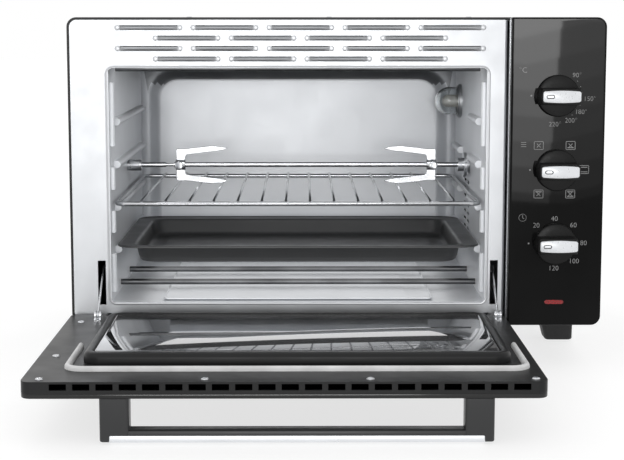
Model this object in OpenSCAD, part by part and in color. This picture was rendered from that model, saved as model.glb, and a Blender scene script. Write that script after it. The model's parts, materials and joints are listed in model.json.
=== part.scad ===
// Rotisserie oven with a drop-down glass door, lying open at rest.
// Millimetres, +Z up, the door faces -Y. The origin is on the ground, at the
// middle of the space that the oven takes up with its door open.

/* [Body] */
// Height of the casing above the underside of its base
body_h = 286; // [270:1:345]
// Depth of the casing from the front frame to the back cover
body_d = 340; // [330:1:420]
// Width of the control panel beside the door
panel_w = 87; // [84:1:120]
// How far the control panel stands in front of the front frame
panel_proud = 18; // [18:0.5:24]
// Room between the left side of the casing and the cavity wall
left_gap = 37.5; // [36:0.5:60]
// Room between the cavity wall and the control panel
right_gap = 20; // [20:1:30]
// Outer corner radius of the casing
corner_r = 9; // [4:0.5:14]
// Thickness of the painted outer shell
shell_t = 2.2; // [1:0.1:2.4]
// Thickness of the inner sheet metal
sheet_t = 1; // [0.8:0.1:1.2]

/* [Feet] */
// Height of the feet below the casing
foot_h = 41; // [40:1:50]
// Distance of the front feet behind the front frame
foot_setback = 110; // [20:1:140]

/* [Cavity] */
// Inside width of the oven cavity
cavity_w = 352; // [300:1:430]
// Inside depth of the oven cavity
cavity_d = 300; // [290:1:310]
// Height of the mouth's lower edge above the underside of the casing
mouth_rise = 18.5; // [18.5:0.5:19]
// Height of the mouth
mouth_h = 221; // [214:1:222]
// Height of the ceiling above the mouth's upper edge
ceiling_rise = 18; // [12:1:24]
// Distance between neighbouring shelf levels
shelf_pitch = 41; // [40:0.5:42]

/* [Door] */
// Thickness of the door panel without its raised window frame
door_t = 13.5; // [13.5:0.5:15]
// Height of the raised window frame on the inside of the door
window_rise = 9.5; // [8:0.5:9.5]
// Length of the raised window frame, measured away from the hinge
window_l = 183; // [150:1:190]
// Distance of the handle's outer face from the door's outer face
handle_reach = 34.3; // [24:0.1:34.5]
// Width of the handle over its two arms
handle_w = 304; // [240:1:340]
// Number of vent slots in the door's upper edge
door_vents = 21; // [9:2:21]

/* [Grill and trays] */
// Thickness of the shelf's outer rod
rack_rod = 4.4; // [4:0.1:5]
// Number of bars in the wire shelf
rack_bars = 14; // [8:1:18]
// Depth of the baking tray
tray_depth = 18; // [12:1:22]
// Length of the baking tray from front to back
tray_l = 235; // [200:1:255]

/* [Spit] */
// Diameter of the spit rod
spit_d = 5; // [4:0.5:6]
// Distance of the spit above the mouth's lower edge
spit_rise = 117.5; // [117:0.5:122]
// Reach of the fork prongs along the spit
prong_l = 44; // [30:1:60]

/* [Controls] */
// Diameter of a knob
knob_d = 38.4; // [34:0.2:44]
// Distance between neighbouring knobs
knob_pitch = 68.5; // [62:0.5:72]
// How far a knob stands in front of the control panel
knob_h = 23; // [18:0.5:28]

/* [Hidden] */
$fn = 48;

eps = 0.02;          // overlap that makes a cut run past a face
gap = 0.3;           // room between neighbouring sheet parts
slip = 0.05;         // radial play of a shaft in its bore

// Casing
body_w = left_gap + cavity_w + right_gap + panel_w;
z_low = foot_h;                      // underside of the casing
z_top = foot_h + body_h;             // top of the casing
half_w = body_w / 2;
lip_w = 46;                          // inward lip along the shell's bottom
base_z = z_low + shell_t;            // underside of the base plate
floor_top = base_z + sheet_t;        // upper face of the base plate
panel_x = half_w - panel_w;          // left side of the control panel
frame_right = panel_x - 4;           // right edge of the front frame

// Cavity
cavity_left = -half_w + left_gap;
cavity_right = cavity_left + cavity_w;
cavity_x = (cavity_left + cavity_right) / 2;
mouth_low = z_low + mouth_rise;
mouth_top = mouth_low + mouth_h;
mouth_w = cavity_w + 2 * sheet_t;
mouth_r = 6;
cavity_low = mouth_low - 0.5;        // underside of the cavity floor
cavity_floor_z = cavity_low + sheet_t;
ceiling_z = mouth_top + ceiling_rise;
panel_front = 0.2 + sheet_t;         // front edge of the cavity panels
emboss = 9;                          // how far the back wall stands forward
ridge_reach = 6;                     // shelf ridges stand this far inward
ridge_h = 7;
shelf_low = mouth_low + 49;          // top of the lowest shelf ridge
shelf_levels = [for (i = [0:3]) shelf_low + i * shelf_pitch];
wall_bead = 3.5;
side_play = 2;                       // shelf to cavity wall, each side

// Heaters
upper_tube_r = 3.1;
lower_tube_r = 2.9;
upper_tube_z = mouth_top - 2;
lower_tube_z = mouth_low + 7.2;
upper_tube_y = [60, 200];
lower_tube_y = [80, 160];
bush_r = 6;
bush_l = 7;
bush_hole_r = 4.2;

// Lamp in the right wall
lamp_y = 241;
lamp_z = mouth_low + 178.5;
lamp_r = 15;
lamp_flange = 3;
lamp_straight = 10;
lamp_wall = 1.5;
lamp_neck_r = 13;

// Spit, its drive and the fan
spit_y = cavity_d / 2;
spit_z = mouth_low + spit_rise;
spit_r = spit_d / 2;
socket_r = 7;
socket_in = 12;                      // socket mouth to cavity wall
socket_end = cavity_right + 21;
drive_disc_r = 12.4;
spit_grip = 10;                      // depth of the rod in its socket
spit_end = cavity_right - socket_in + spit_grip;
spit_start = cavity_left + 12.5;
support_l = 15;
support_r = 6;
fork_out = 50;                       // fork hub to the cavity's side wall
fork_hub_l = 10;
fork_hub_r = 5.5;
fork_t = 2.4;                        // sheet that the forks are cut from
fork_reach = 19.5;                   // prong's outer edge to the spit's axis
prong_h = 6;
fork_screw_x = 4;                    // thumbscrew to the hub's outer face
motor_face = socket_end + 1;
motor_l = 28;
motor_size = 48;
motor_shaft_r = 3;
fan_y = spit_y + 22;
fan_z = spit_z - 43;
fan_r = 26;
fan_blades = 9;
fan_motor_r = 18;
fan_x = cavity_right + sheet_t + 3;
fan_w = 9;

// Door: hinge, panel, window, handle
hinge_y = -10;
seal_gap = panel_proud - door_t;     // liner to front frame, door shut
pin_r = 2;
eye_r = 3.9;
hinge_z = foot_h + 3.5;
liner_top = hinge_z - hinge_y - seal_gap;
door_low = liner_top - door_t;
door_rear = -7;
door_l = body_h - 5.5;
door_front = door_rear - door_l;
door_left = -half_w + 1;
door_right = panel_x - 3;
door_w = door_right - door_left;
door_x = (door_left + door_right) / 2;
door_y = (door_rear + door_front) / 2;
door_r = 8;
door_inner_r = 2;                    // least corner radius inside the door's rim
glass_t = 4;
glass_top = door_low + glass_t;
liner_t = 1;
liner_low = liner_top - liner_t;
rim_t = 3;
rim_flange_w = 22;
rim_flange_t = 1.5;
rail_l = 11;                         // solid rail that holds the hinge pins
vent_pitch = 17.8;
vents_x = door_x + 4.5;              // middle of the row of slots
vent_w = 13.2;
vent_h = 5;
window_w = cavity_w - 6;
window_rear = -45;
window_y = window_rear - window_l / 2;
window_r = 14;
window_rim = 8;
window_ledge = 3;
pane_t = 3.2;
window_top = liner_top + window_rise;
pane_top = window_top - 0.3;
gasket_w = 5;
gasket_h = seal_gap - 0.5;
// the gasket's front run lands just above the mouth when the door is shut
gasket_front = hinge_y - (mouth_top + 0.6 + gasket_w / 2 - hinge_z);
gasket_side = cavity_w / 2 + 7;
gasket_start = -158;
gasket_r = 14;
arm_w = 23;
handle_depth = 17.5;
facing_t = 5.5;
facing_inset = 6.5;
bar_t = 3.8;
handle_low = door_low - handle_reach;
handle_y = door_front + handle_depth / 2;

// Hinge brackets and stays
stay_off = cavity_w / 2 + 8.7;       // stay to the middle of the cavity
bracket_off = cavity_w / 2 + 2.25;   // bracket to the middle of the cavity
bracket_t = 2.5;
bracket_play = 0.75;
slot_w = 7.5;
slot_low = mouth_low - 1.5;
slot_high = slot_low + 42;
stay_y = hinge_y - 24;
stay_z = hinge_z + 10;
stay_t = 2.5;
stay_h = 8;
stay_l = 60;
stay_angle = 35;
ear_t = 1.5;
ear_play = 0.3;
ear_r = 4;
spring_r = 3.5;
anchor_y = 150;
anchor_z = floor_top + 36;
stay_tip_y = stay_y + stay_l * cos(stay_angle);
stay_tip_z = stay_z + stay_l * sin(stay_angle);

// Shelf and trays
rack_r = rack_rod / 2;
rack_w = cavity_w - 2 * side_play;
rack_front = 14.5;
rack_back = cavity_d - emboss - 3;
rack_z = shelf_levels[1] + gap + rack_r;
bar_r = 1.3;
tray_front = 20;
tray_w = rack_w;
tray_rim = 16;
tray_t = 1;
tray_top = shelf_levels[0] + gap + tray_t;
crumb_z = cavity_floor_z + gap;
crumb_t = 0.8;
crumb_h = 2.4;
crumb_front = 9;
crumb_back = cavity_d - emboss - 4;
crumb_margin = 48;                   // bare floor on both sides of the tray
crumb_w = cavity_w - 2 * crumb_margin;

// Controls
face_t = 3;
wall_t = 2.5;
face_y = -panel_proud;
panel_mid = panel_x + panel_w / 2 - 0.5;
knob_top = 71.5;
knob_z = [for (i = [0:2]) z_top - knob_top - i * knob_pitch];
knob_r = knob_d / 2;
knob_gap = 0.6;
knob_base = 5.5;
grip_w = 15;
insert_w = 11.6;
insert_l = 35;
insert_t = 2.5;
stem_r = 3;
stem_l = 14;
switch_size = 40;
switch_l = 28;
lens_z = z_low + 22.3;
lens_w = 18;
lens_h = 4;
gland_x = half_w - 40;
gland_z = z_low + 34;
gland_r = 6.5;
gland_bore_r = 3.6;
gland_out = 6;

// the whole model is moved back so that its origin is under its middle
front_y = (-door_front - body_d - gland_out) / 2;

module place() {
    translate([0, front_y, 0]) children();
}

// Flat outlines, all of true arcs and lines
module round_rect(w, h, r) {
    square([w - 2 * r, h], center = true);
    square([w, h - 2 * r], center = true);
    for (sx = [-1, 1], sy = [-1, 1])
        translate([sx * (w / 2 - r), sy * (h / 2 - r)]) circle(r);
}

module stadium(w, h) {
    square([w - h, h], center = true);
    for (s = [-1, 1]) translate([s * (w - h) / 2, 0]) circle(h / 2);
}

// An outline in X and Z, drawn out from y0 to y1
module upright(y0, y1) {
    translate([0, y1, 0]) rotate([90, 0, 0]) linear_extrude(y1 - y0) children();
}

// An outline in Y and Z, drawn out from x0 to x1
module sideways(x0, x1) {
    translate([x0, 0, 0]) rotate([90, 0, 90]) linear_extrude(x1 - x0) children();
}

module box(x0, x1, y0, y1, z0, z1) {
    translate([x0, y0, z0]) cube([x1 - x0, y1 - y0, z1 - z0]);
}

module rod_x(x0, x1, y, z, r) {
    translate([x0, y, z]) rotate([0, 90, 0]) cylinder(h = x1 - x0, r = r);
}

module rod_y(x, y0, y1, z, r) {
    translate([x, y0, z]) rotate([-90, 0, 0]) cylinder(h = y1 - y0, r = r);
}

// Repeats its child at the left and the right of the cavity
module both_sides(off) {
    for (s = [-1, 1]) translate([cavity_x + s * off, 0, 0]) children();
}

// ---- Casing ----
module shell_outline(inset) {
    translate([0, (z_low + z_top) / 2])
        round_rect(body_w - 2 * inset, body_h - 2 * inset, corner_r - inset);
}

screw_y = body_d - 7;
side_screw_z = [z_low + 40, (z_low + z_top) / 2, z_top - 40];
top_screw_x = [-half_w + 90, 0, half_w - 90];

module cover_screw_holes(r) {
    for (z = side_screw_z) rod_x(-half_w - 1, half_w + 1, screw_y, z, r);
    for (x = top_screw_x) translate([x, screw_y, z_top - 15]) cylinder(h = 20, r = r);
}

module outer_shell() {
    louvre_count = 9;
    louvre_pitch = 9;
    color("#202124") place() difference() {
        upright(0, body_d) difference() {
            shell_outline(0);
            shell_outline(shell_t);
            translate([0, z_low])
                square([body_w - 2 * lip_w - 2 * shell_t, 4 * shell_t], center = true);
        }
        cover_screw_holes(1.8);
        // cooling louvres beside the controls
        for (i = [0:louvre_count - 1])
            box(half_w - 5, half_w + 1, 180, 230,
                z_top - 60 - i * louvre_pitch - 2, z_top - 60 - i * louvre_pitch + 2);
    }
}

module rear_cover() {
    flange = 14;
    vent_rows = 7;
    color("#2a2b2e") place() difference() {
        upright(body_d - flange, body_d) shell_outline(shell_t + gap / 2);
        translate([0, -sheet_t, 0]) upright(body_d - flange - 1, body_d)
            shell_outline(shell_t + gap / 2 + sheet_t);
        // room for the base plate
        box(-half_w, half_w, body_d - flange - 1, body_d - sheet_t, z_low, floor_top + gap);
        cover_screw_holes(1.7);
        for (side = [-1, 1], i = [0:vent_rows - 1])
            translate([side * 110, 0, z_top - 70 - i * 14])
                upright(body_d - 2, body_d + 1) stadium(110, 4);
        rod_y(gland_x, body_d - 2, body_d + 1, gland_z, gland_r);
    }
}

module cover_screws() {
    head_r = 3.4;
    head_h = 1.8;
    shank_r = 1.6;
    shank_l = 7;
    color("#8d9095") place() {
        for (s = [-1, 1], z = side_screw_z) {
            rod_x(min(s * half_w, s * (half_w + head_h)), max(s * half_w, s * (half_w + head_h)),
                  screw_y, z, head_r);
            rod_x(min(s * half_w, s * (half_w - shank_l)), max(s * half_w, s * (half_w - shank_l)),
                  screw_y, z, shank_r);
        }
        for (x = top_screw_x) {
            translate([x, screw_y, z_top]) cylinder(h = head_h, r = head_r);
            translate([x, screw_y, z_top - shank_l]) cylinder(h = shank_l, r = shank_r);
        }
    }
}

module base_plate() {
    tab_w = 6;
    color("#77797c") place() {
        difference() {
            box(-half_w + corner_r + 0.5, half_w - corner_r - 0.5, 2, body_d - 2,
                base_z, floor_top);
            for (i = [0:8], row = [0, 1])
                translate([cavity_x - 120 + i * 30, 180 + row * 60, base_z - 1])
                    linear_extrude(sheet_t + 2) rotate(90) stadium(40, 6);
        }
        // tabs that hold the fixed ends of the two springs
        both_sides(stay_off) difference() {
            box(-tab_w / 2, tab_w / 2, anchor_y, anchor_y + 2, floor_top - eps, anchor_z + 5);
            rod_y(0, anchor_y - 1, anchor_y + 3, anchor_z, 1.5);
        }
    }
}

module front_frame() {
    lance_l = 56.4;
    lance_h = 4.7;
    lance_pitch = 70.2;
    lance_x = cavity_x + 2.5;
    lance_row = 9.6;
    lance_low = mouth_top + 8.2;
    frame_low = floor_top + gap;
    frame_left = -half_w + shell_t + 0.2;
    frame_top = z_top - shell_t - 0.2;
    color("#dcdddf") place() difference() {
        upright(0, sheet_t) difference() {
            union() {
                translate([(frame_left + frame_right) / 2, (frame_low + frame_top) / 2])
                    round_rect(frame_right - frame_left, frame_top - frame_low, corner_r - shell_t);
                translate([frame_right - 20, frame_low]) square([20, frame_top - frame_low]);
            }
            translate([cavity_x, (mouth_low + mouth_top) / 2]) round_rect(mouth_w, mouth_h, mouth_r);
            for (row = [0:3], i = [0:4 - row % 2])
                translate([lance_x + (i - 2 + (row % 2) / 2) * lance_pitch,
                           lance_low + (3 - row) * lance_row])
                    stadium(lance_l, lance_h);
        }
        both_sides(stay_off) box(-slot_w / 2, slot_w / 2, -1, 3, slot_low, slot_high);
        both_sides(bracket_off)
            box(-bracket_t / 2 - bracket_play, bracket_t / 2 + bracket_play, -1, 3,
                z_low, hinge_z + eye_r + 1.5);
    }
}

module foot(inner) {
    // inner is the side towards the middle, where the foot tapers
    foot_w = 38;
    foot_l = 38;
    taper = 10;
    hull() {
        translate([0, 0, z_low - 3]) linear_extrude(3) round_rect(foot_w, foot_l, 4);
        translate([-inner * taper / 2, 0, 0])
            linear_extrude(1) round_rect(foot_w - taper, foot_l - taper, 4);
    }
}

module feet() {
    foot_x = half_w - 21.5;
    rear_y = body_d - 35;
    color("#1d1d1f") place()
        for (s = [-1, 1], y = [foot_setback + 19, rear_y])
            translate([s * foot_x, y, 0]) foot(-s);
}

// ---- Cavity ----
module shelf_ridge(s, y0, y1, z) {
    // s is the side: -1 left, 1 right; the nose is round and points inward
    nose_r = ridge_h / 2;
    wall = s < 0 ? cavity_left : cavity_right;
    centre = wall - s * (ridge_reach - nose_r);
    box(min(wall, centre), max(wall, centre), y0, y1, z - ridge_h, z);
    rod_y(centre, y0, y1, z - nose_r, nose_r);
}

module wall_bead_strip(s) {
    // upright bead near the mouth, open at each shelf level
    wall = s < 0 ? cavity_left : cavity_right;
    inner = wall - s * wall_bead;
    difference() {
        union() {
            box(min(wall, inner + s), max(wall, inner + s), 14, 22, mouth_low + 8, mouth_top - 14);
            translate([inner + s * 1.5, 18, mouth_low + 8])
                cylinder(h = mouth_h - 22, r = 1.5);
        }
        for (i = [0:2])
            box(cavity_left - 2, cavity_right + 2, 10, 26,
                shelf_levels[i] - 4, shelf_levels[i] + 16);
    }
}

module side_wall(s) {
    wall = s < 0 ? cavity_left - sheet_t : cavity_right;
    difference() {
        union() {
            box(wall, wall + sheet_t, panel_front, cavity_d, cavity_low, ceiling_z + sheet_t);
            wall_bead_strip(s);
        }
        for (y = upper_tube_y) rod_x(wall - 1, wall + sheet_t + 1, y, upper_tube_z, bush_hole_r);
        for (y = lower_tube_y) rod_x(wall - 1, wall + sheet_t + 1, y, lower_tube_z, bush_hole_r);
    }
}

module cavity_left_wall() {
    color("#c9cacc") place() {
        side_wall(-1);
        for (z = shelf_levels) shelf_ridge(-1, 40, cavity_d - emboss - 12, z);
    }
}

// Slot through the right wall, long from front to back
module wall_slot(y, z) {
    length = 22;
    half_h = 1.7;
    box(cavity_right - 1, cavity_right + 2, y - length / 2, y + length / 2, z - half_h, z + half_h);
    for (s = [-1, 1])
        rod_x(cavity_right - 1, cavity_right + 2, y + s * length / 2, z, half_h);
}

module cavity_right_wall() {
    slot_pitch = 8;
    slot_rows = 3;                   // above and below the middle one
    slot_aside = 15;                 // middle of a column of slots to the fan's axis
    color("#c9cacc") place() {
        difference() {
            side_wall(1);
            rod_x(cavity_right - 1, cavity_right + 2, spit_y, spit_z, socket_r + 2);
            rod_x(cavity_right - 1, cavity_right + 2, lamp_y, lamp_z, lamp_neck_r + 1);
            for (s = [-1, 1], k = [-slot_rows:slot_rows])
                wall_slot(fan_y + s * slot_aside, fan_z + k * slot_pitch);
        }
        for (z = shelf_levels) {
            shelf_ridge(1, 40, 120, z);
            if (z < lamp_z - lamp_r - 5) shelf_ridge(1, 212, cavity_d - emboss - 12, z);
        }
    }
}

module emboss_block(grow, depth) {
    // a low pyramid with rounded corners on the back wall
    side = 8;
    slope = 10;
    block_w = cavity_w - 2 * side;
    block_h = mouth_h - 24;
    translate([cavity_x, cavity_d, (mouth_low + mouth_top) / 2 + 4]) rotate([90, 0, 0]) hull() {
        linear_extrude(0.1) round_rect(block_w + grow, block_h + grow, 26);
        linear_extrude(depth) round_rect(block_w - 2 * slope + grow, block_h - 2 * slope + grow, 22);
    }
}

module cavity_rear_wall() {
    color("#cfd0d2") place() difference() {
        union() {
            box(cavity_left - sheet_t, cavity_right + sheet_t, cavity_d, cavity_d + sheet_t,
                cavity_low, ceiling_z + sheet_t);
            emboss_block(0, emboss);
        }
        translate([0, sheet_t + eps, 0]) emboss_block(-1, emboss);
    }
}

module cavity_ceiling() {
    color("#4a4b4e") place()
        box(cavity_left, cavity_right, panel_front, cavity_d, ceiling_z, ceiling_z + sheet_t);
}

module cavity_floor() {
    color("#c4c5c7") place()
        box(cavity_left, cavity_right, panel_front, cavity_d, cavity_low, cavity_floor_z);
}

module heater_set(ys, z, r) {
    reach = sheet_t + bush_l + 4;
    for (y = ys) rod_x(cavity_left - reach, cavity_right + reach, y, z, r);
}

module upper_heaters() {
    color("#57585b") place() heater_set(upper_tube_y, upper_tube_z, upper_tube_r);
}

module lower_heaters() {
    color("#57585b") place() heater_set(lower_tube_y, lower_tube_z, lower_tube_r);
}

module bush(x_wall, s, y, z, r) {
    // collar outside the wall and a neck that fills the wall's hole
    x_out = x_wall + s * sheet_t;
    difference() {
        union() {
            rod_x(min(x_out, x_out + s * bush_l), max(x_out, x_out + s * bush_l), y, z, bush_r);
            rod_x(min(x_wall, x_out + s), max(x_wall, x_out + s), y, z, bush_hole_r - slip);
        }
        rod_x(x_wall - 20, x_wall + 20, y, z, r + slip);
    }
}

module heater_insulators() {
    color("#e8e4da") place() for (s = [-1, 1]) {
        wall = s < 0 ? cavity_left : cavity_right;
        for (y = upper_tube_y) bush(wall, s, y, upper_tube_z, upper_tube_r);
        for (y = lower_tube_y) bush(wall, s, y, lower_tube_z, lower_tube_r);
    }
}

// ---- Lamp ----
// Profiles turned about the lamp's axis; the axis points into the cavity
module lamp_axis(x) {
    place() translate([x, lamp_y, lamp_z]) rotate([0, -90, 0]) children();
}

module lamp_holder() {
    back = 30;
    bore_r = 9;
    color("#b9babd") lamp_axis(cavity_right) difference() {
        union() {
            cylinder(h = lamp_flange, r = lamp_r + 3);
            translate([0, 0, -back]) cylinder(h = back, r = lamp_neck_r);
        }
        translate([0, 0, -back + 5]) cylinder(h = back + lamp_flange, r = bore_r);
    }
}

module dome(r, straight) {
    cylinder(h = straight, r = r);
    translate([0, 0, straight]) intersection() {
        sphere(r);
        cylinder(h = r + 1, r = r + 1);
    }
}

module lamp_glass() {
    color("#dfe6ea", 0.5) lamp_axis(cavity_right - lamp_flange) difference() {
        dome(lamp_r, lamp_straight);
        translate([0, 0, -eps]) dome(lamp_r - lamp_wall, lamp_straight);
    }
}

module lamp_bulb() {
    base_r = 8.6;
    bulb_r = 6.5;
    color("#f4efe0") lamp_axis(cavity_right - lamp_flange) union() {
        translate([0, 0, -26]) cylinder(h = 27, r = base_r);
        translate([0, 0, 1]) dome(bulb_r, 10);
    }
}

// ---- Drives, wiring and controls ----
module heat_shield() {
    color("#8b8d90") place() difference() {
        box(panel_x - 2.5, panel_x - 1.5, 3, body_d - 16, floor_top + gap, z_top - shell_t - gap);
        rod_x(panel_x - 4, panel_x, spit_y, spit_z, socket_r + 3);
        rod_x(panel_x - 4, panel_x, fan_y, fan_z, 8);
        rod_x(panel_x - 4, panel_x, lamp_y, lamp_z, lamp_neck_r + 2);
    }
}

module spit_motor() {
    gear_l = 12;
    color("#9a9ca0") place() {
        difference() {
            sideways(motor_face, motor_face + gear_l)
                translate([spit_y, spit_z]) round_rect(motor_size, motor_size, 6);
            for (sy = [-1, 1], sz = [-1, 1])
                rod_x(motor_face - 1, motor_face + gear_l + 1,
                      spit_y + sy * 18, spit_z + sz * 18, 2);
        }
        rod_x(motor_face + gear_l - eps, motor_face + motor_l, spit_y, spit_z, 21);
        rod_x(motor_face - 13, motor_face + eps, spit_y, spit_z, motor_shaft_r);
    }
}

module fan_motor() {
    color("#84868a") place() {
        rod_x(motor_face, motor_face + 26, fan_y, fan_z, fan_motor_r);
        rod_x(fan_x - 1, motor_face + eps, fan_y, fan_z, 2);
    }
}

module fan_wheel() {
    blade_t = 1.2;
    color("#a9abae") place() difference() {
        union() {
            rod_x(fan_x, fan_x + fan_w, fan_y, fan_z, 6);
            rod_x(fan_x + fan_w - 1, fan_x + fan_w, fan_y, fan_z, fan_r);
            for (i = [0:fan_blades - 1])
                translate([fan_x, fan_y, fan_z]) rotate([i * 360 / fan_blades, 0, 0])
                    translate([0, 4, -blade_t / 2]) cube([fan_w - 0.5, fan_r - 5, blade_t]);
        }
        rod_x(fan_x - 1, fan_x + fan_w + 1, fan_y, fan_z, 2 + slip);
    }
}

// One rotary control: its body stands behind the panel, round the knob's stem
module rotary_control(z, size, depth) {
    difference() {
        union() {
            translate([panel_mid, 0, z]) upright(face_y + face_t, face_y + face_t + depth)
                round_rect(size, size, 5);
            for (i = [-1, 1])
                box(panel_mid + i * size / 4 - 3, panel_mid + i * size / 4 + 3,
                    face_y + face_t + depth - eps, face_y + face_t + depth + 8, z - 0.4, z + 0.4);
        }
        rod_y(panel_mid, face_y, face_y + face_t + stem_l, z, stem_r + slip);
    }
}

module thermostat() {
    color("#b5b6b2") place() {
        rotary_control(knob_z[0], switch_size - 4, switch_l);
        // capillary housing at the control's back
        rod_y(panel_mid, face_y + face_t + switch_l - eps, face_y + face_t + switch_l + 6,
              knob_z[0] + 12, 5);
    }
}

module function_switch() {
    color("#d8d2c0") place() rotary_control(knob_z[1], switch_size, switch_l + 6);
}

module timer() {
    color("#c2c3c6") place() {
        rotary_control(knob_z[2], switch_size + 6, switch_l);
        // bell
        rod_y(panel_mid, face_y + face_t + switch_l - eps, face_y + face_t + switch_l + 5,
              knob_z[2] - 14, 8);
    }
}

module panel_outline(inset) {
    // the two corners beside the door are almost square
    r = corner_r - inset;
    translate([panel_x + panel_w / 2, (z_low + z_top) / 2])
        round_rect(panel_w - 2 * inset, body_h - 2 * inset, r);
    translate([panel_x + inset, z_low + inset])
        square([panel_w / 2 - inset, body_h - 2 * inset]);
}

module control_panel() {
    color("#0e0e10") place() difference() {
        upright(face_y, -0.1) panel_outline(0);
        translate([0, face_t, 0]) upright(face_y, 1) panel_outline(wall_t);
        for (z = knob_z) rod_y(panel_mid, face_y - 1, face_y + face_t + 1, z, stem_r + 1);
        translate([panel_mid, 0, lens_z])
            upright(face_y - 1, face_y + face_t + 1) stadium(lens_w, lens_h);
    }
}

module indicator_lens() {
    play = 0.3;
    color("#b01218") place() translate([panel_mid, 0, lens_z]) union() {
        upright(face_y - 0.5, face_y + face_t + eps) stadium(lens_w - play, lens_h - play);
        upright(face_y + face_t, face_y + face_t + 1.2) stadium(lens_w + 3, lens_h + 3);
    }
}

module indicator_lamp() {
    color("#e07a3a") place()
        rod_x(panel_mid - 9, panel_mid + 9, face_y + face_t + 1.5 + 3.2, lens_z, 3);
}

module knob(z) {
    y_back = face_y - knob_gap;
    y_tip = face_y - knob_h;
    difference() {
        union() {
            // round skirt with a bevelled rim
            translate([panel_mid, y_back, z]) rotate([90, 0, 0]) rotate_extrude()
                polygon([[0, 0], [knob_r, 0], [knob_r, knob_base - 1.5],
                         [knob_r - 1.5, knob_base], [0, knob_base]]);
            // bar grip across the skirt, ends round
            intersection() {
                rod_y(panel_mid, y_tip, y_back, z, knob_r - 0.4);
                translate([panel_mid, 0, z]) upright(y_tip, y_back - 1)
                    round_rect(knob_d, grip_w, 4);
            }
            rod_y(panel_mid, y_back - 1, y_back + stem_l, z, stem_r);
        }
        translate([panel_mid, 0, z]) upright(y_tip - 1, y_tip + insert_t + 0.1)
            round_rect(insert_l + 0.2, insert_w + 0.2, 4.1);
    }
}

module knob_insert(z) {
    y_tip = face_y - knob_h;
    mark_w = 6.4;
    mark_h = 2.6;
    translate([panel_mid, 0, z]) difference() {
        upright(y_tip - 0.6, y_tip + insert_t) round_rect(insert_l, insert_w, 4);
        // pointer mark, sunk into the end that shows the setting
        translate([-insert_l / 2 + 6.5, 0, 0]) upright(y_tip - 1, y_tip)
            stadium(mark_w, mark_h);
    }
}

module temperature_knob() { color("#141416") place() knob(knob_z[0]); }
module function_knob() { color("#141416") place() knob(knob_z[1]); }
module timer_knob() { color("#141416") place() knob(knob_z[2]); }
module temperature_insert() { color("#eceded") place() knob_insert(knob_z[0]); }
module function_insert() { color("#eceded") place() knob_insert(knob_z[1]); }
module timer_insert() { color("#eceded") place() knob_insert(knob_z[2]); }

module terminal_block() {
    ways = 3;
    pitch = 13;
    color("#e3e1da") place() difference() {
        box(gland_x - 22, gland_x + 22, body_d - 60, body_d - 40, floor_top, floor_top + 16);
        for (i = [0:ways - 1])
            rod_y(gland_x - pitch + i * pitch, body_d - 61, body_d - 39, floor_top + 8, 2.5);
    }
}

module cord_gland() {
    flange_r = gland_r + 3;
    color("#232326") place() difference() {
        union() {
            rod_y(gland_x, body_d - 8, body_d + gland_out, gland_z, gland_r - slip);
            rod_y(gland_x, body_d, body_d + 3, gland_z, flange_r);
        }
        rod_y(gland_x, body_d - 9, body_d + gland_out + 1, gland_z, gland_bore_r);
    }
}

// ---- Door, lying open ----
module door_outline(inset) {
    translate([door_x, door_y])
        round_rect(door_w - 2 * inset, door_l - 2 * inset, max(door_r - inset, door_inner_r));
}

module bracket_notches(z0, z1) {
    // room for the hinge brackets through the whole swing of the door
    both_sides(bracket_off)
        box(-bracket_t / 2 - bracket_play, bracket_t / 2 + bracket_play,
            hinge_y - eye_r - 1, door_rear + 1, z0, z1);
}

// The liner's screws stand in a row along the door's far edge, and in the
// wider margin on the left
module door_screw_spots() {
    first = door_left + 14;
    last = door_right - 9;
    row = 4;
    for (i = [0:row - 1])
        translate([first + i * (last - first) / (row - 1), door_front + 8.5, 0]) children();
    for (y = [-47, -194]) translate([first, y, 0]) children();
}

module door_frame() {
    color("#2c2d30") place() difference() {
        union() {
            translate([0, 0, glass_top]) linear_extrude(liner_low - glass_top) difference() {
                door_outline(0);
                door_outline(rim_t);
            }
            translate([0, 0, liner_low - rim_flange_t]) linear_extrude(rim_flange_t) difference() {
                door_outline(1);
                door_outline(rim_flange_w);
            }
            translate([0, 0, glass_top]) linear_extrude(liner_low - glass_top)
                intersection() {
                    door_outline(0);
                    translate([door_left, door_rear - rail_l]) square([door_w, rail_l]);
                }
        }
        bracket_notches(door_low, liner_top);
        both_sides(bracket_off) rod_x(-9, 9, hinge_y, hinge_z, pin_r + slip);
        for (i = [0:door_vents - 1])
            translate([vents_x + (i - (door_vents - 1) / 2) * vent_pitch, 0, 0])
                box(-vent_w / 2, vent_w / 2, door_front - 1, door_front + rim_t + 1,
                    liner_low - rim_flange_t / 2 - vent_h, liner_low - rim_flange_t / 2);
        door_screw_spots() translate([0, 0, glass_top])
            cylinder(h = door_t, r = 1.55);
    }
}

module door_outer_glass() {
    color("#17181a", 0.85) place()
        translate([0, 0, door_low]) linear_extrude(glass_t) door_outline(0);
}

module door_liner() {
    color("#3a3b3e") place() difference() {
        translate([0, 0, liner_low]) linear_extrude(liner_t) difference() {
            door_outline(0);
            translate([cavity_x, window_y])
                round_rect(window_w - 2 * window_rim, window_l - 2 * window_rim, window_r - window_rim);
        }
        bracket_notches(door_low, liner_top + 1);
        door_screw_spots() translate([0, 0, liner_low - 1]) cylinder(h = 4, r = 1.6);
    }
}

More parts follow.
